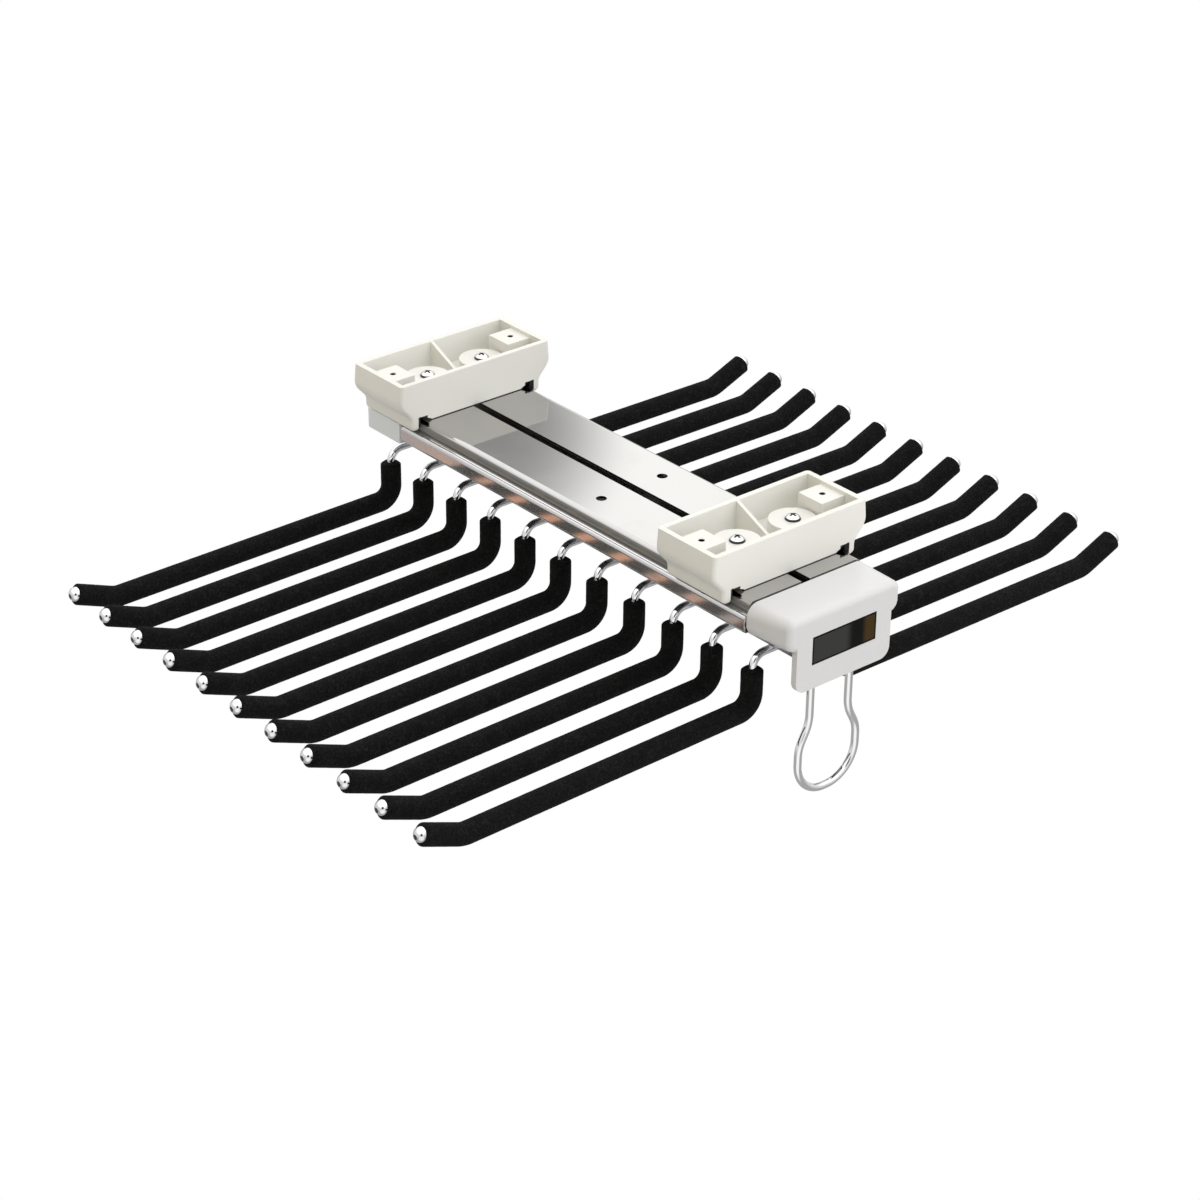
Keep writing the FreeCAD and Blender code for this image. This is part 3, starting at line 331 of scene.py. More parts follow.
    @staticmethod
    def build_flock() -> bpy.types.NodeTree:
        """Short dense flock: speckles of lighter fibre on black, with worn streaks.

        Returns:
            The group.
        """
        group, tree, start, end = new_group("short_flock", "ShaderNodeTree", [
            ("Vector", VECTOR, None), ("Dark", COLOUR, opaque((0.004, 0.004, 0.004))),
            ("Light", COLOUR, opaque((0.03, 0.03, 0.03))), ("Fibre Scale", FLOAT, 900.0),
            ("Clump Scale", FLOAT, 170.0),
        ], [("Colour", COLOUR), ("Roughness", FLOAT), ("Height", FLOAT)])
        fibre = tree.add("ShaderNodeTexNoise", Vector=start.outputs["Vector"],
                         Scale=start.outputs["Fibre Scale"], Detail=3.0, Roughness=0.7)
        clump = tree.add("ShaderNodeTexNoise", Vector=start.outputs["Vector"],
                         Scale=start.outputs["Clump Scale"], Detail=4.0, Roughness=0.65)
        speck = tree.span(fibre.outputs["Fac"], 0.42, 0.68)
        patch = tree.span(clump.outputs["Fac"], 0.35, 0.7)
        clumped = tree.math("MULTIPLY", patch, CLUMP_TONE_SHARE)
        light = tree.math("MULTIPLY", speck, tree.math("ADD", clumped, 1.0 - CLUMP_TONE_SHARE))
        colour = tree.mix(light, start.outputs["Dark"], start.outputs["Light"])
        mounds = tree.math("MULTIPLY", clump.outputs["Fac"], CLUMP_HEIGHT_SHARE)
        height = tree.math("ADD", fibre.outputs["Fac"], mounds)
        tree.feed(end, "Colour", colour)
        tree.feed(end, "Roughness", tree.span(light, 0.0, 1.0, 0.96, 0.82))
        tree.feed(end, "Height", height)
        return group


@dataclass(frozen=True)
class Shade:
    """A place painted dark, mostly painted shade where little light reaches and on the domed tips a
    painted reflection: distances from an upright line, and levels.
    """

    high: float
    outer: float = FAR
    low: float = -FAR
    inner: float = -FAR
    line: Point = (0.0, 0.0, 0.0)
    axes: Point = (1.0, 0.0, 0.0)
    colour: Colour = (0.004, 0.004, 0.004)


class Finish:
    """Base of the finishes: a named material with one Principled shader."""

    name: str
    shades: tuple[Shade, ...] = ()

    def start(self) -> tuple[bpy.types.Material, Tree, bpy.types.Node, bpy.types.NodeSocket]:
        """Start the material.

        Returns:
            The material, its Tree, its shader and the Object coordinates.
        """
        material = bpy.data.materials.new(self.name)
        material.use_nodes = True
        tree = Tree(material.node_tree)
        shader = material.node_tree.nodes["Principled BSDF"]
        coordinates = tree.add("ShaderNodeTexCoord").outputs["Object"]
        return material, tree, shader, coordinates

    def use(self, tree: Tree, shader: bpy.types.Node, effects: Effects,
            group: bpy.types.NodeTree, strength: float, depth: float,
            **inputs) -> bpy.types.NodeSocket | float:
        """Place an effect, darken the shaded places and feed the shader.

        Args:
            tree: the material's tree.
            shader: its Principled shader.
            effects: the shared shader groups.
            group: the effect to place.
            strength: strength of the bump.
            depth: depth of the bump in metres.
            inputs: values for the effect's inputs, with "_" for a space.

        Returns:
            The mask of all shaded places.
        """
        effect = tree.add("ShaderNodeGroup", {"node_tree": group}, **inputs)
        bump = tree.add("ShaderNodeBump", Strength=strength, Distance=depth,
                        Height=effect.outputs["Height"])
        colour = effect.outputs["Colour"]
        shaded = 0.0
        for shade in self.shades:
            place = tree.add("ShaderNodeGroup", {"node_tree": effects.shade},
                             Vector=inputs["Vector"], Line=shade.line, Axes=shade.axes,
                             Inner=shade.inner, Outer=shade.outer, Low=shade.low, High=shade.high)
            colour = tree.mix(place.outputs["Mask"], colour, opaque(shade.colour))
            shaded = tree.math("MAXIMUM", shaded, place.outputs["Mask"])
        tree.feed(shader, "Base Color", colour)
        tree.feed(shader, "Roughness", effect.outputs["Roughness"])
        tree.feed(shader, "Normal", bump.outputs["Normal"])
        return shaded


@dataclass(frozen=True)
class MouldedPlastic(Finish):
    """Satin injection-moulded plastic."""

    name: str
    colour: Colour
    tint: Colour
    roughness: float = 0.36
    tone: float = 0.3
    glow: float = 0.05
    glow_radius: Point = (1.0, 0.85, 0.6)
    glow_scale: float = 3.0 * MM
    coat: float = 0.0
    coat_roughness: float = 0.12
    grain: float = 0.12
    grain_depth: float = 0.02 * MM
    shades: tuple[Shade, ...] = ()

    def build(self, effects: Effects) -> bpy.types.Material:
        """Build the material.

        Args:
            effects: the shared shader groups.

        Returns:
            The material.
        """
        material, tree, shader, where = self.start()
        self.use(tree, shader, effects, effects.grain, self.grain, self.grain_depth,
                 Vector=where, Colour=opaque(self.colour), Tint=opaque(self.tint),
                 Tone=self.tone, Roughness=self.roughness)
        shader.inputs["Subsurface Weight"].default_value = self.glow
        shader.inputs["Subsurface Radius"].default_value = self.glow_radius
        shader.inputs["Subsurface Scale"].default_value = self.glow_scale
        shader.inputs["Coat Weight"].default_value = self.coat
        shader.inputs["Coat Roughness"].default_value = self.coat_roughness
        return material


@dataclass(frozen=True)
class PolishedMetal(Finish):
    """Steel or chrome with drawn lines and smudges."""

    name: str
    colour: Colour
    tint: Colour
    roughness: float = 0.06
    smudge: float = 0.04
    lines: float = 0.02
    stretch: Point = (900.0, 6.0, 900.0)
    bump: float = 0.03
    bump_depth: float = 0.4 * MM
    metallic: float = 1.0
    shades: tuple[Shade, ...] = ()

    def build(self, effects: Effects) -> bpy.types.Material:
        """Build the material.

        Args:
            effects: the shared shader groups.

        Returns:
            The material.
        """
        material, tree, shader, where = self.start()
        shaded = self.use(tree, shader, effects, effects.smudge, self.bump, self.bump_depth,
                          Vector=where, Colour=opaque(self.colour), Tint=opaque(self.tint),
                          Roughness=self.roughness, Smudge=self.smudge, Lines=self.lines,
                          Stretch=self.stretch)
        if self.shades:
            bare = tree.math("SUBTRACT", 1.0, shaded)
            tree.feed(shader, "Metallic", tree.math("MULTIPLY", bare, self.metallic))
        else:
            shader.inputs["Metallic"].default_value = self.metallic
        return material


@dataclass(frozen=True)
class FlockedRubber(Finish):
    """Black sleeve covered with short flock."""

    name: str
    dark: Colour
    light: Colour
    pile: float = 0.5
    pile_depth: float = 0.4 * MM
    specular: float = 0.12

    def build(self, effects: Effects) -> bpy.types.Material:
        """Build the material.

        Args:
            effects: the shared shader groups.

        Returns:
            The material.
        """
        material, tree, shader, where = self.start()
        self.use(tree, shader, effects, effects.flock, self.pile, self.pile_depth,
                 Vector=where, Dark=opaque(self.dark), Light=opaque(self.light))
        shader.inputs["Specular IOR Level"].default_value = self.specular
        return material


@dataclass(frozen=True)
class PlateFinish(Finish):
    """Smoked gloss plate with a black edge, whose tone turns to black and then to bronze towards
    its right end, a painted reflection.
    """

    name: str
    dark: Colour
    black: Colour
    bronze: Colour
    low: Point
    high: Point
    start_x: float = 0.5 * MM
    turn_x: float = 6.0 * MM
    leave_x: float = 11.0 * MM
    end_x: float = 15.0 * MM
    edge: float = 0.9 * MM
    edge_colour: Colour = (0.002, 0.002, 0.002)
    roughness: float = 0.16
    smudge: float = 0.06
    waviness: float = 0.4
    bump: float = 0.02
    bump_depth: float = 0.2 * MM
    specular: float = 0.12

    def build(self, effects: Effects) -> bpy.types.Material:
        """Build the material.

        Args:
            effects: the shared shader groups.

        Returns:
            The material.
        """
        material, tree, shader, where = self.start()
        place = tree.add("ShaderNodeSeparateXYZ", Vector=where).outputs
        # painted reflection: black, then a bronze sheen towards the plate's right end
        to_black = tree.span(place["X"], self.start_x, self.turn_x, smooth=True)
        to_bronze = tree.span(place["X"], self.leave_x, self.end_x, smooth=True)
        tone = tree.mix(to_bronze, tree.mix(to_black, opaque(self.dark), opaque(self.black)),
                        opaque(self.bronze))
        for axis, low, high in (("X", self.low[0], self.high[0]), ("Z", self.low[2], self.high[2])):
            off = tree.math("ABSOLUTE", tree.math("SUBTRACT", place[axis], (low + high) / 2))
            rim = tree.math("GREATER_THAN", off, (high - low) / 2 - self.edge)
            tone = tree.mix(rim, tone, opaque(self.edge_colour))
        self.use(tree, shader, effects, effects.smudge, self.bump, self.bump_depth,
                 Vector=where, Colour=tone, Tint=tone, Roughness=self.roughness,
                 Smudge=self.smudge, Lines=0.0, Waviness=self.waviness)
        shader.inputs["Specular IOR Level"].default_value = self.specular
        return material


RAIL_TOP = RAIL_HIGH.z
RAIL_SIDE = RAIL_HIGH.x
ROUND = (1.0, 1.0, 0.0)
HOLE_PLACE = (39.0 * MM, 121.0 * MM, 0.0)
IVORY_SHADES = (
    # painted shade: along the joint between bracket and rail, in the notch beside each leg and
    # inside the cabinet screw holes
    Shade(outer=RAIL_SIDE, high=RAIL_TOP + 0.45 * MM),
    Shade(outer=RAIL_SIDE, inner=RAIL_SIDE - 6.0 * MM, high=RAIL_TOP + 3.3 * MM),
    Shade(outer=1.75 * MM, high=-0.35 * MM, line=HOLE_PLACE, axes=ROUND),
)
RAIL_SHADES = (
    # painted shade in the hollow inside, then in the gap between rail and channel, darker with its
    # depth
    Shade(outer=RAIL_SIDE - 1.4 * MM, low=RAIL_LOW.z + 1.4 * MM, high=RAIL_TOP - 1.4 * MM,
          colour=(0.2, 0.2, 0.19)),
    Shade(inner=RAIL_SIDE - 1.9 * MM, high=RAIL_TOP - 0.8 * MM, colour=(0.5, 0.5, 0.49)),
    Shade(inner=RAIL_SIDE - 1.0 * MM, high=RAIL_TOP - 1.6 * MM, colour=(0.13, 0.13, 0.125)),
    Shade(inner=RAIL_SIDE - 0.8 * MM, high=RAIL_TOP - 2.5 * MM, colour=(0.035, 0.035, 0.033)),
)
CHANNEL_SHADES = (
    # painted shade inside the channel, below the tops of its lips
    Shade(outer=CHANNEL_HIGH.x - 1.1 * MM, high=CHANNEL_HIGH.z - 0.3 * MM,
          colour=(0.03, 0.03, 0.03)),
)
TIP_PAINTED_REFLECTION = (
    # painted reflection: a dark spot at the outermost point of each domed tip, standing in for the
    # dark surroundings that it mirrors
    Shade(inner=TIP_REACH - 0.25 * MM, high=FAR, colour=(0.03, 0.03, 0.03)),
)
IVORY = MouldedPlastic("ivory_plastic", (0.83, 0.825, 0.785), (0.81, 0.79, 0.72),
                       shades=IVORY_SHADES)
WHITE = MouldedPlastic("white_plastic", (0.68, 0.68, 0.69), (0.66, 0.66, 0.67), roughness=0.3,
                       tone=0.2, coat=0.1)
# painted light: the caps' white plastic made lighter and bluer on the rear cap, to make up for the
# dimmer, warmer light on its side
REAR_CAP_PAINTED_LIGHTER = MouldedPlastic("rear_cap_white_painted_lighter", (0.8, 0.84, 0.88), (0.78, 0.82, 0.86),
                            roughness=0.3, tone=0.2, coat=0.1)
CAGE = MouldedPlastic("cage_plastic", (0.1, 0.1, 0.1), (0.08, 0.08, 0.08))
RUBBER = FlockedRubber("buffer_rubber", (0.012, 0.012, 0.012), (0.03, 0.03, 0.03))
SLEEVE = FlockedRubber("flocked_sleeve", (0.0032, 0.0032, 0.0032), (0.017, 0.017, 0.017))
RAIL = PolishedMetal("polished_rail", (0.5, 0.495, 0.487), (0.48, 0.475, 0.467), roughness=0.045,
                     smudge=0.02, lines=0.01, shades=RAIL_SHADES)
CHANNEL = PolishedMetal("polished_channel", (0.66, 0.65, 0.65), (0.62, 0.61, 0.61), roughness=0.1,
                        metallic=0.82, shades=CHANNEL_SHADES)
CHROME = PolishedMetal("chromed_wire", (0.84, 0.84, 0.84), (0.8, 0.8, 0.8), roughness=0.05,
                       stretch=(60.0, 60.0, 60.0))
TIP = PolishedMetal("domed_tip", (0.8, 0.8, 0.8), (0.76, 0.76, 0.76), roughness=0.06,
                    stretch=(60.0, 60.0, 60.0), shades=TIP_PAINTED_REFLECTION)
BALL = PolishedMetal("ball_steel", (0.75, 0.75, 0.75), (0.7, 0.7, 0.7), stretch=(60.0, 60.0, 60.0))
ZINC = PolishedMetal("zinc_steel", (0.62, 0.63, 0.65), (0.5, 0.51, 0.53), roughness=0.28,
                     smudge=0.14, lines=0.1, bump=0.1)


def bracket_screw(end: str) -> PolishedMetal:
    """Finish of a bracket's screws: bright heads, with a painted dark ring round each head and
    painted shade in its recess.

    Args:
        end: "front" or "rear".

    Returns:
        The finish.
    """
    low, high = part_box(f"{end}_bracket_screws")
    head_radius = 4.0 * MM
    rim_width = 0.4 * MM
    recess_radius = 2.3 * MM
    recess_depth = 0.5 * MM
    line = (high.x - head_radius, abs(low.y + high.y) / 2, 0.0)
    return PolishedMetal(
        f"{end}_screw_steel", (0.75, 0.75, 0.76), (0.66, 0.66, 0.68), roughness=0.12,
        stretch=(300.0, 300.0, 300.0), shades=(
            Shade(outer=2.0 * head_radius, inner=head_radius - rim_width, high=high.z,
                  line=line, axes=ROUND, colour=(0.02, 0.02, 0.02)),
            Shade(outer=recess_radius, high=high.z - recess_depth,
                  line=line, axes=ROUND, colour=(0.03, 0.03, 0.03)),
        ))


SCREW = PolishedMetal("screw_steel", (0.75, 0.75, 0.76), (0.66, 0.66, 0.68), roughness=0.12,
                      stretch=(300.0, 300.0, 300.0))
FRONT_SCREW = bracket_screw("front")
REAR_SCREW = bracket_screw("rear")
PLATE = PlateFinish("dark_plate", (0.036, 0.036, 0.036), (0.002, 0.002, 0.0015),
                    (0.05, 0.028, 0.006), low=tuple(PLATE_LOW), high=tuple(PLATE_HIGH))
FINISHES = (IVORY, WHITE, REAR_CAP_PAINTED_LIGHTER, CAGE, RUBBER, SLEEVE, RAIL, CHANNEL, CHROME, TIP, BALL,
            ZINC, SCREW, FRONT_SCREW, REAR_SCREW, PLATE)


# Meshes


def new_object(name: str, mesh: bpy.types.Mesh) -> bpy.types.Object:
    """Put a mesh in the scene as an object at the origin.

    Args:
        name: the object's name.
        mesh: its mesh.

    Returns:
        The object.
    """
    piece = bpy.data.objects.new(name, mesh)
    bpy.context.scene.collection.objects.link(piece)
    return piece


def settled(piece: bpy.types.Object) -> bpy.types.Object:
    """Turn an object's modifiers into its plain mesh.

    Args:
        piece: an object with modifiers.

    Returns:
        The same object, with the final mesh and no modifiers.
    """
    bpy.context.view_layer.update()
    evaluated = piece.evaluated_get(bpy.context.evaluated_depsgraph_get())
    mesh = bpy.data.meshes.new_from_object(evaluated)
    piece.modifiers.clear()
    piece.data = mesh
    mesh.name = piece.name
    return piece


class SoftenedCopies:
    """Copies of CAD nodes with merged points, small rounded edges and smooth shading."""

    merge_distance: float = 0.002 * MM
    flat_angle: float = math.radians(0.5)

    def __init__(self, materials: dict[str, bpy.types.Material]) -> None:
        """Keep the materials.

        Args:
            materials: the finished materials by name.
        """
        self.materials = materials

    def make(self, node: str, body: Body, finish: Finish, slot: str, width: float,
             segments: int = 2, crease: float = 30.0) -> bpy.types.Object:
        """Copy a node, round its sharp edges and let the copy stand for it.

        Args:
            node: the CAD node's name.
            body: the body it rides on.
            finish: its finish.
            slot: the record's material slot; not used.
            width: width of the rounding in metres.
            segments: segments of the rounding.
            crease: angle in degrees above which an edge counts as sharp.

        Returns:
            The copy.
        """
        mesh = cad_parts[node].data.copy()
        piece = new_object(f"{node}_finished", mesh)
        mesh.materials.clear()
        mesh.materials.append(self.materials[finish.name])
        weld = piece.modifiers.new("weld", "WELD")
        weld.merge_threshold = self.merge_distance
        faces = piece.modifiers.new("whole_faces", "DECIMATE")
        faces.decimate_type = "DISSOLVE"
        faces.angle_limit = self.flat_angle
        settled(piece)
        if "custom_normal" in piece.data.attributes:
            piece.data.attributes.remove(piece.data.attributes["custom_normal"])
        piece.data.shade_smooth()
        piece.data.set_sharp_from_angle(angle=math.radians(crease))
        bevel = piece.modifiers.new("rounding", "BEVEL")
        bevel.width = width
        bevel.segments = segments
        bevel.limit_method = "ANGLE"
        bevel.angle_limit = math.radians(crease)
        bevel.harden_normals = True
        normals = piece.modifiers.new("face_normals", "WEIGHTED_NORMAL")
        normals.keep_sharp = True
        settled(piece)
        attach(piece, body.value)
        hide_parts(node)
        return piece


# Bent rods: one Geometry Nodes tree sweeps a round section along a path with rounded corners

SMALLEST_ROUNDING = 0.001 * MM


class RodTree:
    """A tree that rounds a path's corners, sweeps a round section along it and copies the rod."""

    def __init__(self) -> None:
        """Build the tree."""
        self.group = self.build()

    @staticmethod
    def build() -> bpy.types.NodeTree:
        """Build the tree.

        Returns:
            The geometry node group.
        """
        group, tree, start, end = new_group("bent_rod_row", "GeometryNodeTree", [
            ("Geometry", GEOMETRY, None), ("Radius", FLOAT, 0.002), ("Sides", INTEGER, 24),
            ("Step", FLOAT, 0.002), ("End Rounding", FLOAT, 0.0), ("Corner Points", INTEGER, 12),
            ("Copies", INTEGER, 1), ("Pitch", FLOAT, 0.03), ("Unevenness", FLOAT, 0.0),
            ("Unevenness Scale", FLOAT, 300.0), ("Seed", FLOAT, 7.0), ("Material", MATERIAL, None),
        ], [("Geometry", GEOMETRY)])
        bend = tree.add("GeometryNodeInputNamedAttribute", {"data_type": "FLOAT"}, Name="bend")
        path = tree.add("GeometryNodeMeshToCurve", Mesh=start.outputs["Geometry"])
        rounded = tree.add("GeometryNodeFilletCurve", {"mode": "POLY"}, Curve=path.outputs["Curve"],
                           Count=start.outputs["Corner Points"], Radius=bend.outputs["Attribute"])
        even = tree.add("GeometryNodeResampleCurve", {"mode": "LENGTH"},
                        Curve=rounded.outputs["Curve"], Length=start.outputs["Step"])

        along = tree.add("GeometryNodeSplineParameter").outputs["Length"]
        whole = tree.add("GeometryNodeSplineLength").outputs["Length"]
        to_end = tree.math("MINIMUM", along, tree.math("SUBTRACT", whole, along))
        reach = tree.math("MAXIMUM", start.outputs["End Rounding"], SMALLEST_ROUNDING)
        inward = tree.math("MINIMUM", tree.math("DIVIDE", to_end, reach), 1.0)
        missing = tree.math("SUBTRACT", 1.0, inward)
        squared = tree.math("MULTIPLY", missing, missing)
        bulge = tree.math("SQRT", tree.math("SUBTRACT", 1.0, squared))
        drawn_in = tree.math("MULTIPLY", tree.math("SUBTRACT", 1.0, bulge),
                             start.outputs["End Rounding"])
        scale = tree.math("SUBTRACT", 1.0, tree.math("DIVIDE", drawn_in, start.outputs["Radius"]))

        section = tree.add("GeometryNodeCurvePrimitiveCircle", Resolution=start.outputs["Sides"],
                           Radius=start.outputs["Radius"])
        sweep = tree.add("GeometryNodeCurveToMesh", Curve=even.outputs["Curve"], Scale=scale,
                         Profile_Curve=section.outputs["Curve"], Fill_Caps=True)

        row = tree.add("GeometryNodeMeshLine", {"mode": "OFFSET"}, Count=start.outputs["Copies"])
        forward = tree.math("MULTIPLY", start.outputs["Pitch"], -1.0)
        offset = tree.add("ShaderNodeCombineXYZ", Y=forward)
        tree.feed(row, "Offset", offset.outputs["Vector"])
        copies = tree.add("GeometryNodeInstanceOnPoints", Points=row.outputs["Mesh"],
                          Instance=sweep.outputs["Mesh"])
        real = tree.add("GeometryNodeRealizeInstances", Geometry=copies.outputs["Instances"])

        place = tree.add("GeometryNodeInputPosition").outputs["Position"]
        normal = tree.add("GeometryNodeInputNormal").outputs["Normal"]
        lumps = tree.add("ShaderNodeTexNoise", {"noise_dimensions": "4D"}, Vector=place,
                         W=start.outputs["Seed"], Scale=start.outputs["Unevenness Scale"],
                         Detail=3.0)
        height = tree.math("MULTIPLY", tree.math("SUBTRACT", lumps.outputs["Fac"], 0.5),
                           start.outputs["Unevenness"])
        push = tree.vector("SCALE", normal)
        tree.feed(push, "Scale", height)
        moved = tree.add("GeometryNodeSetPosition", Geometry=real.outputs["Geometry"],
                         Offset=push.outputs["Vector"])
        smooth = tree.add("GeometryNodeSetShadeSmooth", Geometry=moved.outputs["Geometry"])
        done = tree.add("GeometryNodeSetMaterial", Geometry=smooth.outputs["Geometry"],
                        Material=start.outputs["Material"])
        tree.feed(end, "Geometry", done.outputs["Geometry"])
        return group

    def sweep(self, name: str, corners: list[tuple[float, float, float, float]],
              **inputs) -> bpy.types.Object:
        """Sweep a rod along corners and make it a plain mesh.

        Args:
            name: the object's name.
            corners: (x, y, z, bend radius) of each corner, in metres.
            inputs: the tree's inputs, with "_" for a space.

        Returns:
            The rod, or the row of rods, as one object.
        """
        mesh = bpy.data.meshes.new(f"{name}_path")
        edges = [(index, index + 1) for index in range(len(corners) - 1)]
        mesh.from_pydata([corner[:3] for corner in corners], edges, [])
        bends = mesh.attributes.new("bend", "FLOAT", "POINT")
        bends.data.foreach_set("value", [corner[3] for corner in corners])
        piece = new_object(name, mesh)
        modifier = piece.modifiers.new("bent_rod_row", "NODES")
        modifier.node_group = self.group
        sockets = {item.name: item.identifier for item in self.group.interface.items_tree
                   if item.item_type == "SOCKET" and item.in_out == "INPUT"}
        for title, value in inputs.items():
            modifier[sockets[title.replace("_", " ")]] = value
        return settled(piece)


@dataclass
class ArmSet:
    """The eleven bent wires and their flocked sleeves."""

    rods: RodTree
    materials: dict[str, bpy.types.Material]
    count: int = 11
    pitch: float = 28.7 * MM
    wire_radius: float = 2.0 * MM
    sleeve_radius: float = 5.5 * MM
    root_x: float = 28.8 * MM
    root_drop: float = 28.2 * MM
    slope_drop: float = 1.4 * MM
    sleeve_rise: float = 21.2 * MM
    turn_x: float = 203.0 * MM
    sleeve_end_x: float = 226.0 * MM
    tip_angle: float = math.radians(21.9)
    wire_bend: float = 7.0 * MM
    root_bend: float = 8.5 * MM
    turn_bend: float = 14.0 * MM
    socket: float = 1.3 * MM
    wire_sides: int = 20
    wire_step: float = 1.6 * MM
    sleeve_sides: int = 28
    sleeve_step: float = 1.05 * MM
    sleeve_end_rounding: float = 1.3 * MM
    sleeve_unevenness: float = 0.16 * MM
    sleeve_unevenness_scale: float = 420.0

    def __post_init__(self) -> None:
        """Take the rearmost wire's place from the CAD."""
        low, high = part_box("arm_wire_01")
        self.rear_y = (low.y + high.y) / 2
        self.cross_run_z = high.z - self.wire_radius
        self.root_z = self.cross_run_z - self.root_drop
        self.low_z = self.root_z - self.slope_drop
        self.sleeve_top_z = self.root_z + self.sleeve_rise

    def arm(self, side: Side, end: float) -> list[tuple[float, float, float, float]]:
        """Corners of an arm from its root to its end.

        Args:
            side: the side that it reaches out to.
            end: how far it runs past the sleeve's end, in metres.

        Returns:
            The corners.
        """
        sign = side.value
        end_x = self.sleeve_end_x + end * math.cos(self.tip_angle)
        end_z = self.low_z + (end_x - self.turn_x) * math.tan(self.tip_angle)
        y = self.rear_y
        return [
            (sign * self.root_x, y, self.root_z, self.root_bend),
            (sign * self.turn_x, y, self.low_z, self.turn_bend),
            (sign * end_x, y, end_z, 0.0),
        ]

    def wires(self) -> bpy.types.Object:
        """Make the row of wires.

        Returns:
            The wires as one piece.
        """
        y = self.rear_y
        left = self.arm(Side.LEFT, self.socket)[::-1]
        left.append((-self.root_x, y, self.cross_run_z, self.wire_bend))
        right = [(self.root_x, y, self.cross_run_z, self.wire_bend)]
        right += self.arm(Side.RIGHT, self.socket)
        wires = self.rods.sweep("arm_wires", left + right, Radius=self.wire_radius,
                                Sides=self.wire_sides, Step=self.wire_step, Copies=self.count,
                                Pitch=self.pitch, Material=self.materials[CHROME.name])
        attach(wires, Body.CARRIAGE.value)
        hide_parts(*[f"arm_wire_{index:02d}" for index in range(1, self.count + 1)])
        return wires

    def sleeves(self, side: Side) -> bpy.types.Object:
        """Make one side's row of sleeves.

        Args:
            side: the side that they are on.

        Returns:
            The sleeves as one piece.
        """
        name = side.name.lower()
        start = (side.value * self.root_x, self.rear_y, self.sleeve_top_z, 0.0)
        sleeves = self.rods.sweep(f"{name}_sleeves", [start] + self.arm(side, 0.0),
                                  Radius=self.sleeve_radius, Sides=self.sleeve_sides,
                                  Step=self.sleeve_step, End_Rounding=self.sleeve_end_rounding,
                                  Copies=self.count, Pitch=self.pitch,
                                  Unevenness=self.sleeve_unevenness,
                                  Unevenness_Scale=self.sleeve_unevenness_scale,
                                  Material=self.materials[SLEEVE.name])
        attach(sleeves, Body.CARRIAGE.value)
        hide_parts(*[f"{name}_sleeve_{index:02d}" for index in range(1, self.count + 1)])
        return sleeves

    def build(self) -> None:
        """Make wires and sleeves."""
        log.info("piece %s", self.wires().name)
        for side in Side:
            log.info("piece %s", self.sleeves(side).name)


@dataclass
class PullLoop:
    """The bent wire loop below the front cap."""

    rods: RodTree
    materials: dict[str, bpy.types.Material]
    wire_radius: float = 1.95 * MM
    half_width: float = 19.0 * MM
    leg_x: float = 12.6 * MM
    shoulder_rise: float = 27.0 * MM
    neck_rise: float = 39.0 * MM
    ring_bend: float = 18.0 * MM
    neck_bend: float = 21.0 * MM
    sides: int = 32
    step: float = 0.8 * MM
    corner_points: int = 40

    def build(self) -> None:
        """Make the loop in the CAD loop's place, with a longer and softer neck."""
        low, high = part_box("pull_loop")
        y = (low.y + high.y) / 2
        bottom = low.z + self.wire_radius
        right = [
            (self.half_width, y, bottom, self.ring_bend),
            (self.half_width, y, bottom + self.shoulder_rise, self.ring_bend),
            (self.leg_x, y, bottom + self.neck_rise, self.neck_bend),
            (self.leg_x, y, high.z, 0.0),
        ]
        left = [(-x, place_y, z, bend) for x, place_y, z, bend in reversed(right)]
        loop = self.rods.sweep("pull_loop_wire", left + right, Radius=self.wire_radius,
                               Sides=self.sides, Step=self.step,
                               Corner_Points=self.corner_points,
                               Material=self.materials[CHROME.name])
        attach(loop, Body.CARRIAGE.value)
        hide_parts("pull_loop")
        log.info("piece %s", loop.name)


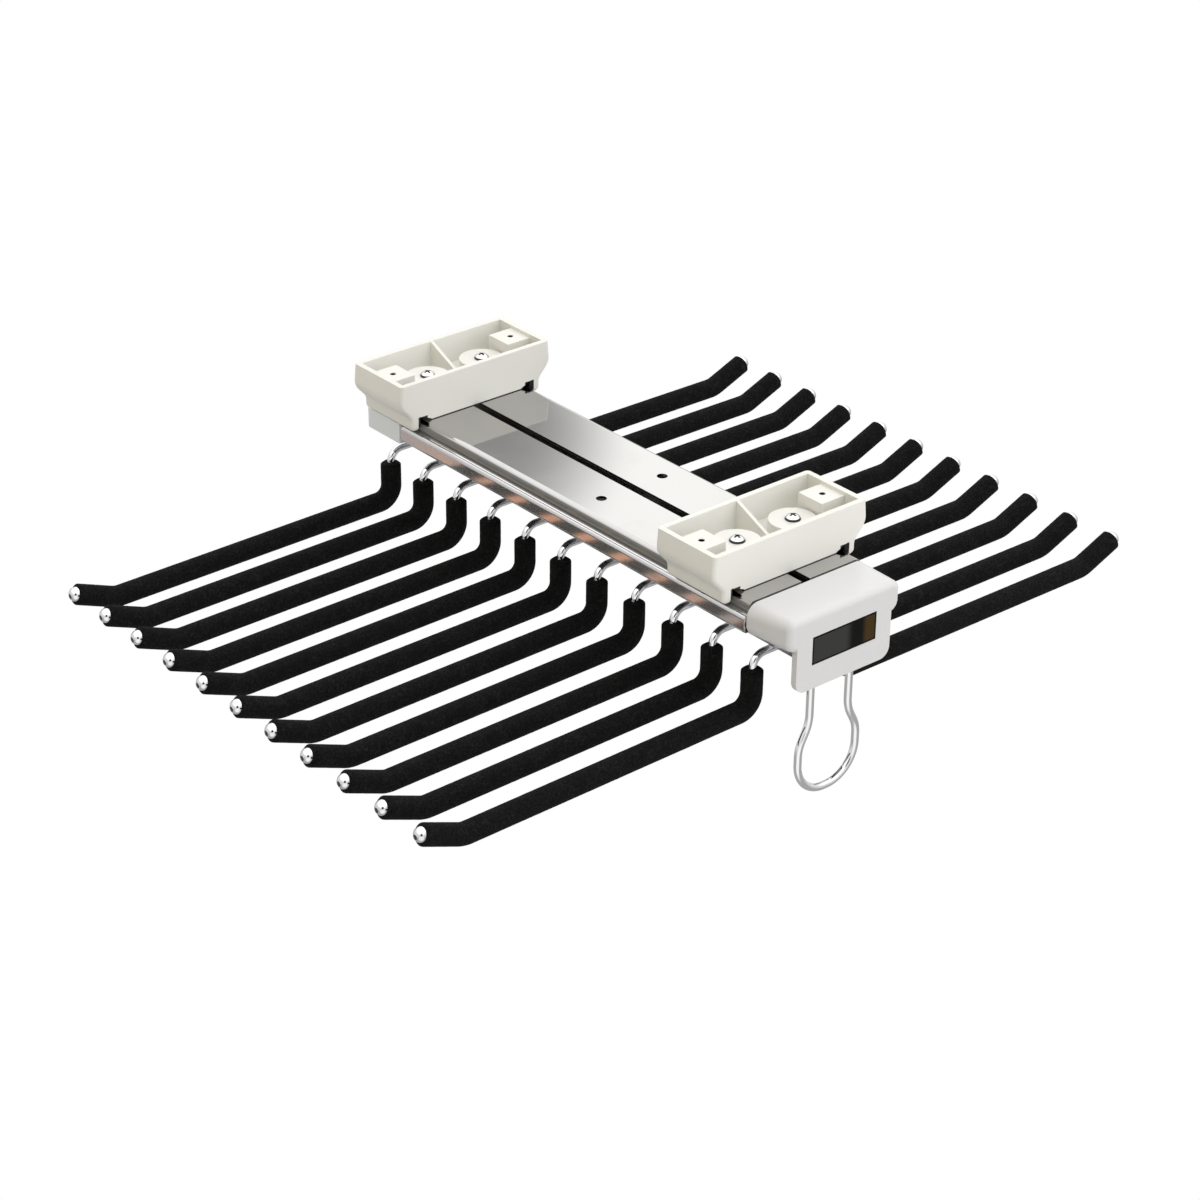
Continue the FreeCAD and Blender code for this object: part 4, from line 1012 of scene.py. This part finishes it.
@dataclass
class Hardware:
    """The pieces that keep their CAD shape: some as they are, some as softened copies."""

    copies: SoftenedCopies
    materials: dict[str, bpy.types.Material]
    kept: dict[str, Finish] = field(default_factory=lambda: {
        "left_ball_cage": CAGE, "right_ball_cage": CAGE, "left_balls": BALL, "right_balls": BALL,
        "carrier_rivets": ZINC, "left_arm_tips": TIP, "right_arm_tips": TIP,
        "front_nut_plate": ZINC, "rear_nut_plate": ZINC, "front_buffer": RUBBER,
        "front_cap_screws": SCREW, "rear_cap_screws": SCREW,
        "front_bracket_screws": FRONT_SCREW, "rear_bracket_screws": REAR_SCREW,
    })
    bracket_edge: float = 0.7 * MM
    front_cap_edge: float = 0.3 * MM
    rear_cap_edge: float = 1.5 * MM
    metal_edge: float = 0.12 * MM

    def build(self) -> None:
        """Dress every piece."""
        for node, finish in self.kept.items():
            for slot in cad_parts[node].material_slots:
                slot.material = self.materials[finish.name]
        for end in ("front", "rear"):
            self.copies.make(f"{end}_bracket", Body.FIXED, IVORY, "ivory_plastic",
                             self.bracket_edge, segments=3)
        self.copies.make("fixed_rail", Body.FIXED, RAIL, "polished_steel", self.metal_edge)
        self.copies.make("outer_channel", Body.CARRIAGE, CHANNEL, "polished_steel",
                         self.metal_edge)
        self.copies.make("carrier_bar", Body.CARRIAGE, ZINC, "zinc_steel", self.metal_edge)
        self.copies.make("front_cap", Body.CARRIAGE, WHITE, "white_plastic",
                         self.front_cap_edge, segments=3)
        self.copies.make("rear_cap", Body.CARRIAGE, REAR_CAP_PAINTED_LIGHTER, "white_plastic",
                         self.rear_cap_edge, segments=4)
        self.copies.make("name_plate", Body.CARRIAGE, PLATE, "dark_plate", self.metal_edge)
        log.info("hardware dressed")


# Light, backdrop and camera

PURE_WHITE = (1.0, 1.0, 1.0, 1.0)


@dataclass(frozen=True)
class Glow:
    """A soft patch of the surroundings that only polished surfaces mirror."""

    towards: Point
    inner: float
    outer: float
    colour: Colour


@dataclass(frozen=True)
class Lamp:
    """A square soft lamp: its place, its side in metres and its power in watts."""

    name: str
    place: Point
    size: float
    power: float


@dataclass
class Studio:
    """World, lamps, floor and camera."""

    above: Colour = (1.7, 1.7, 1.7)
    level: Colour = (0.8, 0.8, 0.81)
    below: Colour = (0.44, 0.432, 0.43)
    warm: Colour = (0.74, 0.68, 0.56)
    warm_side: Point = (-1.0, 0.15, 0.0)
    warm_reach: float = 0.8
    soft_low: float = 0.55
    soft_high: float = 1.05
    below_to_level: tuple[float, float] = (-0.5, 0.05)
    level_to_above: tuple[float, float] = (0.2, 0.8)
    glows: tuple[Glow, ...] = (
        Glow((0.576, 0.648, 0.498), 8.0, 20.0, (1.76, 1.76, 1.74)),
        Glow((0.553, 0.716, 0.426), 0.0, 3.1, (0.45, 0.45, 0.44)),
        Glow((-0.569, 0.683, -0.457), 1.2, 3.7, (0.98, 0.47, 0.27)),
        Glow((-0.57, -0.69, -0.43), 14.0, 48.0, (1.1, 1.1, 1.1)),
        Glow((-0.58, -0.69, 0.43), 10.0, 22.0, (0.05, 0.05, 0.05)),
    )
    camera_place: Point = (-0.92442, -1.09307, 0.67997)
    camera_turn: Point = (61.531, -0.537, -39.974)
    camera_lens: float = 94.56
    sensor: float = 36.0
    camera_clip: float = 0.01
    lamps: tuple[Lamp, ...] = (
        Lamp("top_lamp", (0.3, -0.2, 1.4), 1.6, 6.0),
        Lamp("front_lamp", (0.9, -1.5, 0.5), 1.2, 6.0),
    )
    lamp_target: Point = (0.0, 0.0, -0.04)
    floor_reach: float = 6.0
    floor_level: float = -0.42
    floor_tone: Colour = (0.8, 0.8, 0.8)

    def world(self) -> None:
        """White to the camera, soft light on matt surfaces and a shaded room for polished ones."""
        world = bpy.data.worlds.new("studio")
        bpy.context.scene.world = world
        world.use_nodes = True
        world.node_tree.nodes.clear()
        tree = Tree(world.node_tree)
        direction = tree.add("ShaderNodeTexCoord").outputs["Generated"]
        up = tree.add("ShaderNodeSeparateXYZ", Vector=direction).outputs["Z"]
        leftward = tree.vector("DOT_PRODUCT", direction, self.warm_side).outputs["Value"]
        tint = tree.mix(tree.span(leftward, 0.0, self.warm_reach, smooth=True), PURE_WHITE,
                        opaque(self.warm))
        lit = tree.span(up, -1.0, 1.0, self.soft_low, self.soft_high)
        soft = tree.add("ShaderNodeBackground", Color=tint, Strength=lit)

        raised = tree.span(up, *self.below_to_level, smooth=True)
        room = tree.mix(raised, opaque(self.below), opaque(self.level))
        overhead = tree.span(up, *self.level_to_above, smooth=True)
        room = tree.mix(overhead, room, opaque(self.above))
        for glow in self.glows:
            towards = Vector(glow.towards).normalized()
            facing = tree.vector("DOT_PRODUCT", direction, tuple(towards)).outputs["Value"]
            share = tree.span(facing, math.cos(math.radians(glow.outer)),
                              math.cos(math.radians(glow.inner)), smooth=True)
            room = tree.mix(share, room, opaque(glow.colour))
        mirrored = tree.add("ShaderNodeBackground", Color=room, Strength=1.0)
        white = tree.add("ShaderNodeBackground", Color=PURE_WHITE, Strength=1.0)

        ray = tree.add("ShaderNodeLightPath").outputs
        polished = tree.math("MAXIMUM", ray["Is Glossy Ray"], ray["Is Transmission Ray"])
        first = tree.add("ShaderNodeMixShader", Fac=polished)
        tree.feed(first, 1, soft.outputs[0])
        tree.feed(first, 2, mirrored.outputs[0])
        final = tree.add("ShaderNodeMixShader", Fac=ray["Is Camera Ray"])
        tree.feed(final, 1, first.outputs[0])
        tree.feed(final, 2, white.outputs[0])
        tree.add("ShaderNodeOutputWorld", Surface=final.outputs[0])

    def hang(self, lamp: Lamp) -> None:
        """Add a lamp that faces the rack.

        Args:
            lamp: the lamp.
        """
        light = bpy.data.lights.new(lamp.name, "AREA")
        light.size = lamp.size
        light.energy = lamp.power
        piece = bpy.data.objects.new(lamp.name, light)
        piece.location = lamp.place
        aim = Vector(self.lamp_target) - Vector(lamp.place)
        piece.rotation_euler = aim.to_track_quat("-Z", "Y").to_euler()
        piece.visible_glossy = False
        bpy.context.scene.collection.objects.link(piece)

    def floor(self) -> None:
        """A plain pale floor below the rack, white to the camera."""
        reach, level = self.floor_reach, self.floor_level
        mesh = bpy.data.meshes.new("floor")
        corners = [(-reach, -reach, level), (reach, -reach, level),
                   (reach, reach, level), (-reach, reach, level)]
        mesh.from_pydata(corners, [], [(0, 1, 2, 3)])
        floor = new_object("floor", mesh)
        floor.visible_glossy = False
        material = bpy.data.materials.new("floor")
        material.use_nodes = True
        material.node_tree.nodes.clear()
        tree = Tree(material.node_tree)
        matt = tree.add("ShaderNodeBsdfDiffuse", Color=opaque(self.floor_tone))
        white = tree.add("ShaderNodeEmission", Color=PURE_WHITE, Strength=1.0)
        clear = tree.add("ShaderNodeBsdfTransparent")
        ray = tree.add("ShaderNodeLightPath").outputs
        seen = tree.add("ShaderNodeMixShader", Fac=ray["Is Camera Ray"])
        tree.feed(seen, 1, matt.outputs[0])
        tree.feed(seen, 2, white.outputs[0])
        face = tree.add("ShaderNodeNewGeometry").outputs
        behind = tree.add("ShaderNodeMixShader", Fac=face["Backfacing"])
        tree.feed(behind, 1, seen.outputs[0])
        tree.feed(behind, 2, clear.outputs[0])
        tree.add("ShaderNodeOutputMaterial", Surface=behind.outputs[0])
        mesh.materials.append(material)

    def camera(self) -> None:
        """Look at the rack as the photograph does."""
        data = bpy.data.cameras.new("camera")
        data.sensor_width = self.sensor
        data.lens = self.camera_lens
        data.clip_start = self.camera_clip
        camera = bpy.data.objects.new("camera", data)
        camera.location = self.camera_place
        camera.rotation_euler = [math.radians(angle) for angle in self.camera_turn]
        bpy.context.scene.collection.objects.link(camera)
        bpy.context.scene.camera = camera

    def build(self) -> None:
        """Set up the whole studio."""
        bpy.context.scene.view_settings.view_transform = "Standard"
        self.world()
        for lamp in self.lamps:
            self.hang(lamp)
        self.floor()
        self.camera()
        log.info("studio ready")


def main() -> None:
    """Build the pieces in order."""
    logging.basicConfig(level=logging.INFO, format="%(name)s: %(message)s")
    effects = Effects()
    materials = {finish.name: finish.build(effects) for finish in FINISHES}
    rods = RodTree()
    ArmSet(rods, materials).build()
    PullLoop(rods, materials).build()
    Hardware(SoftenedCopies(materials), materials).build()
    Studio().build()
    bpy.context.view_layer.update()


if __name__ == "__main__":
    main()
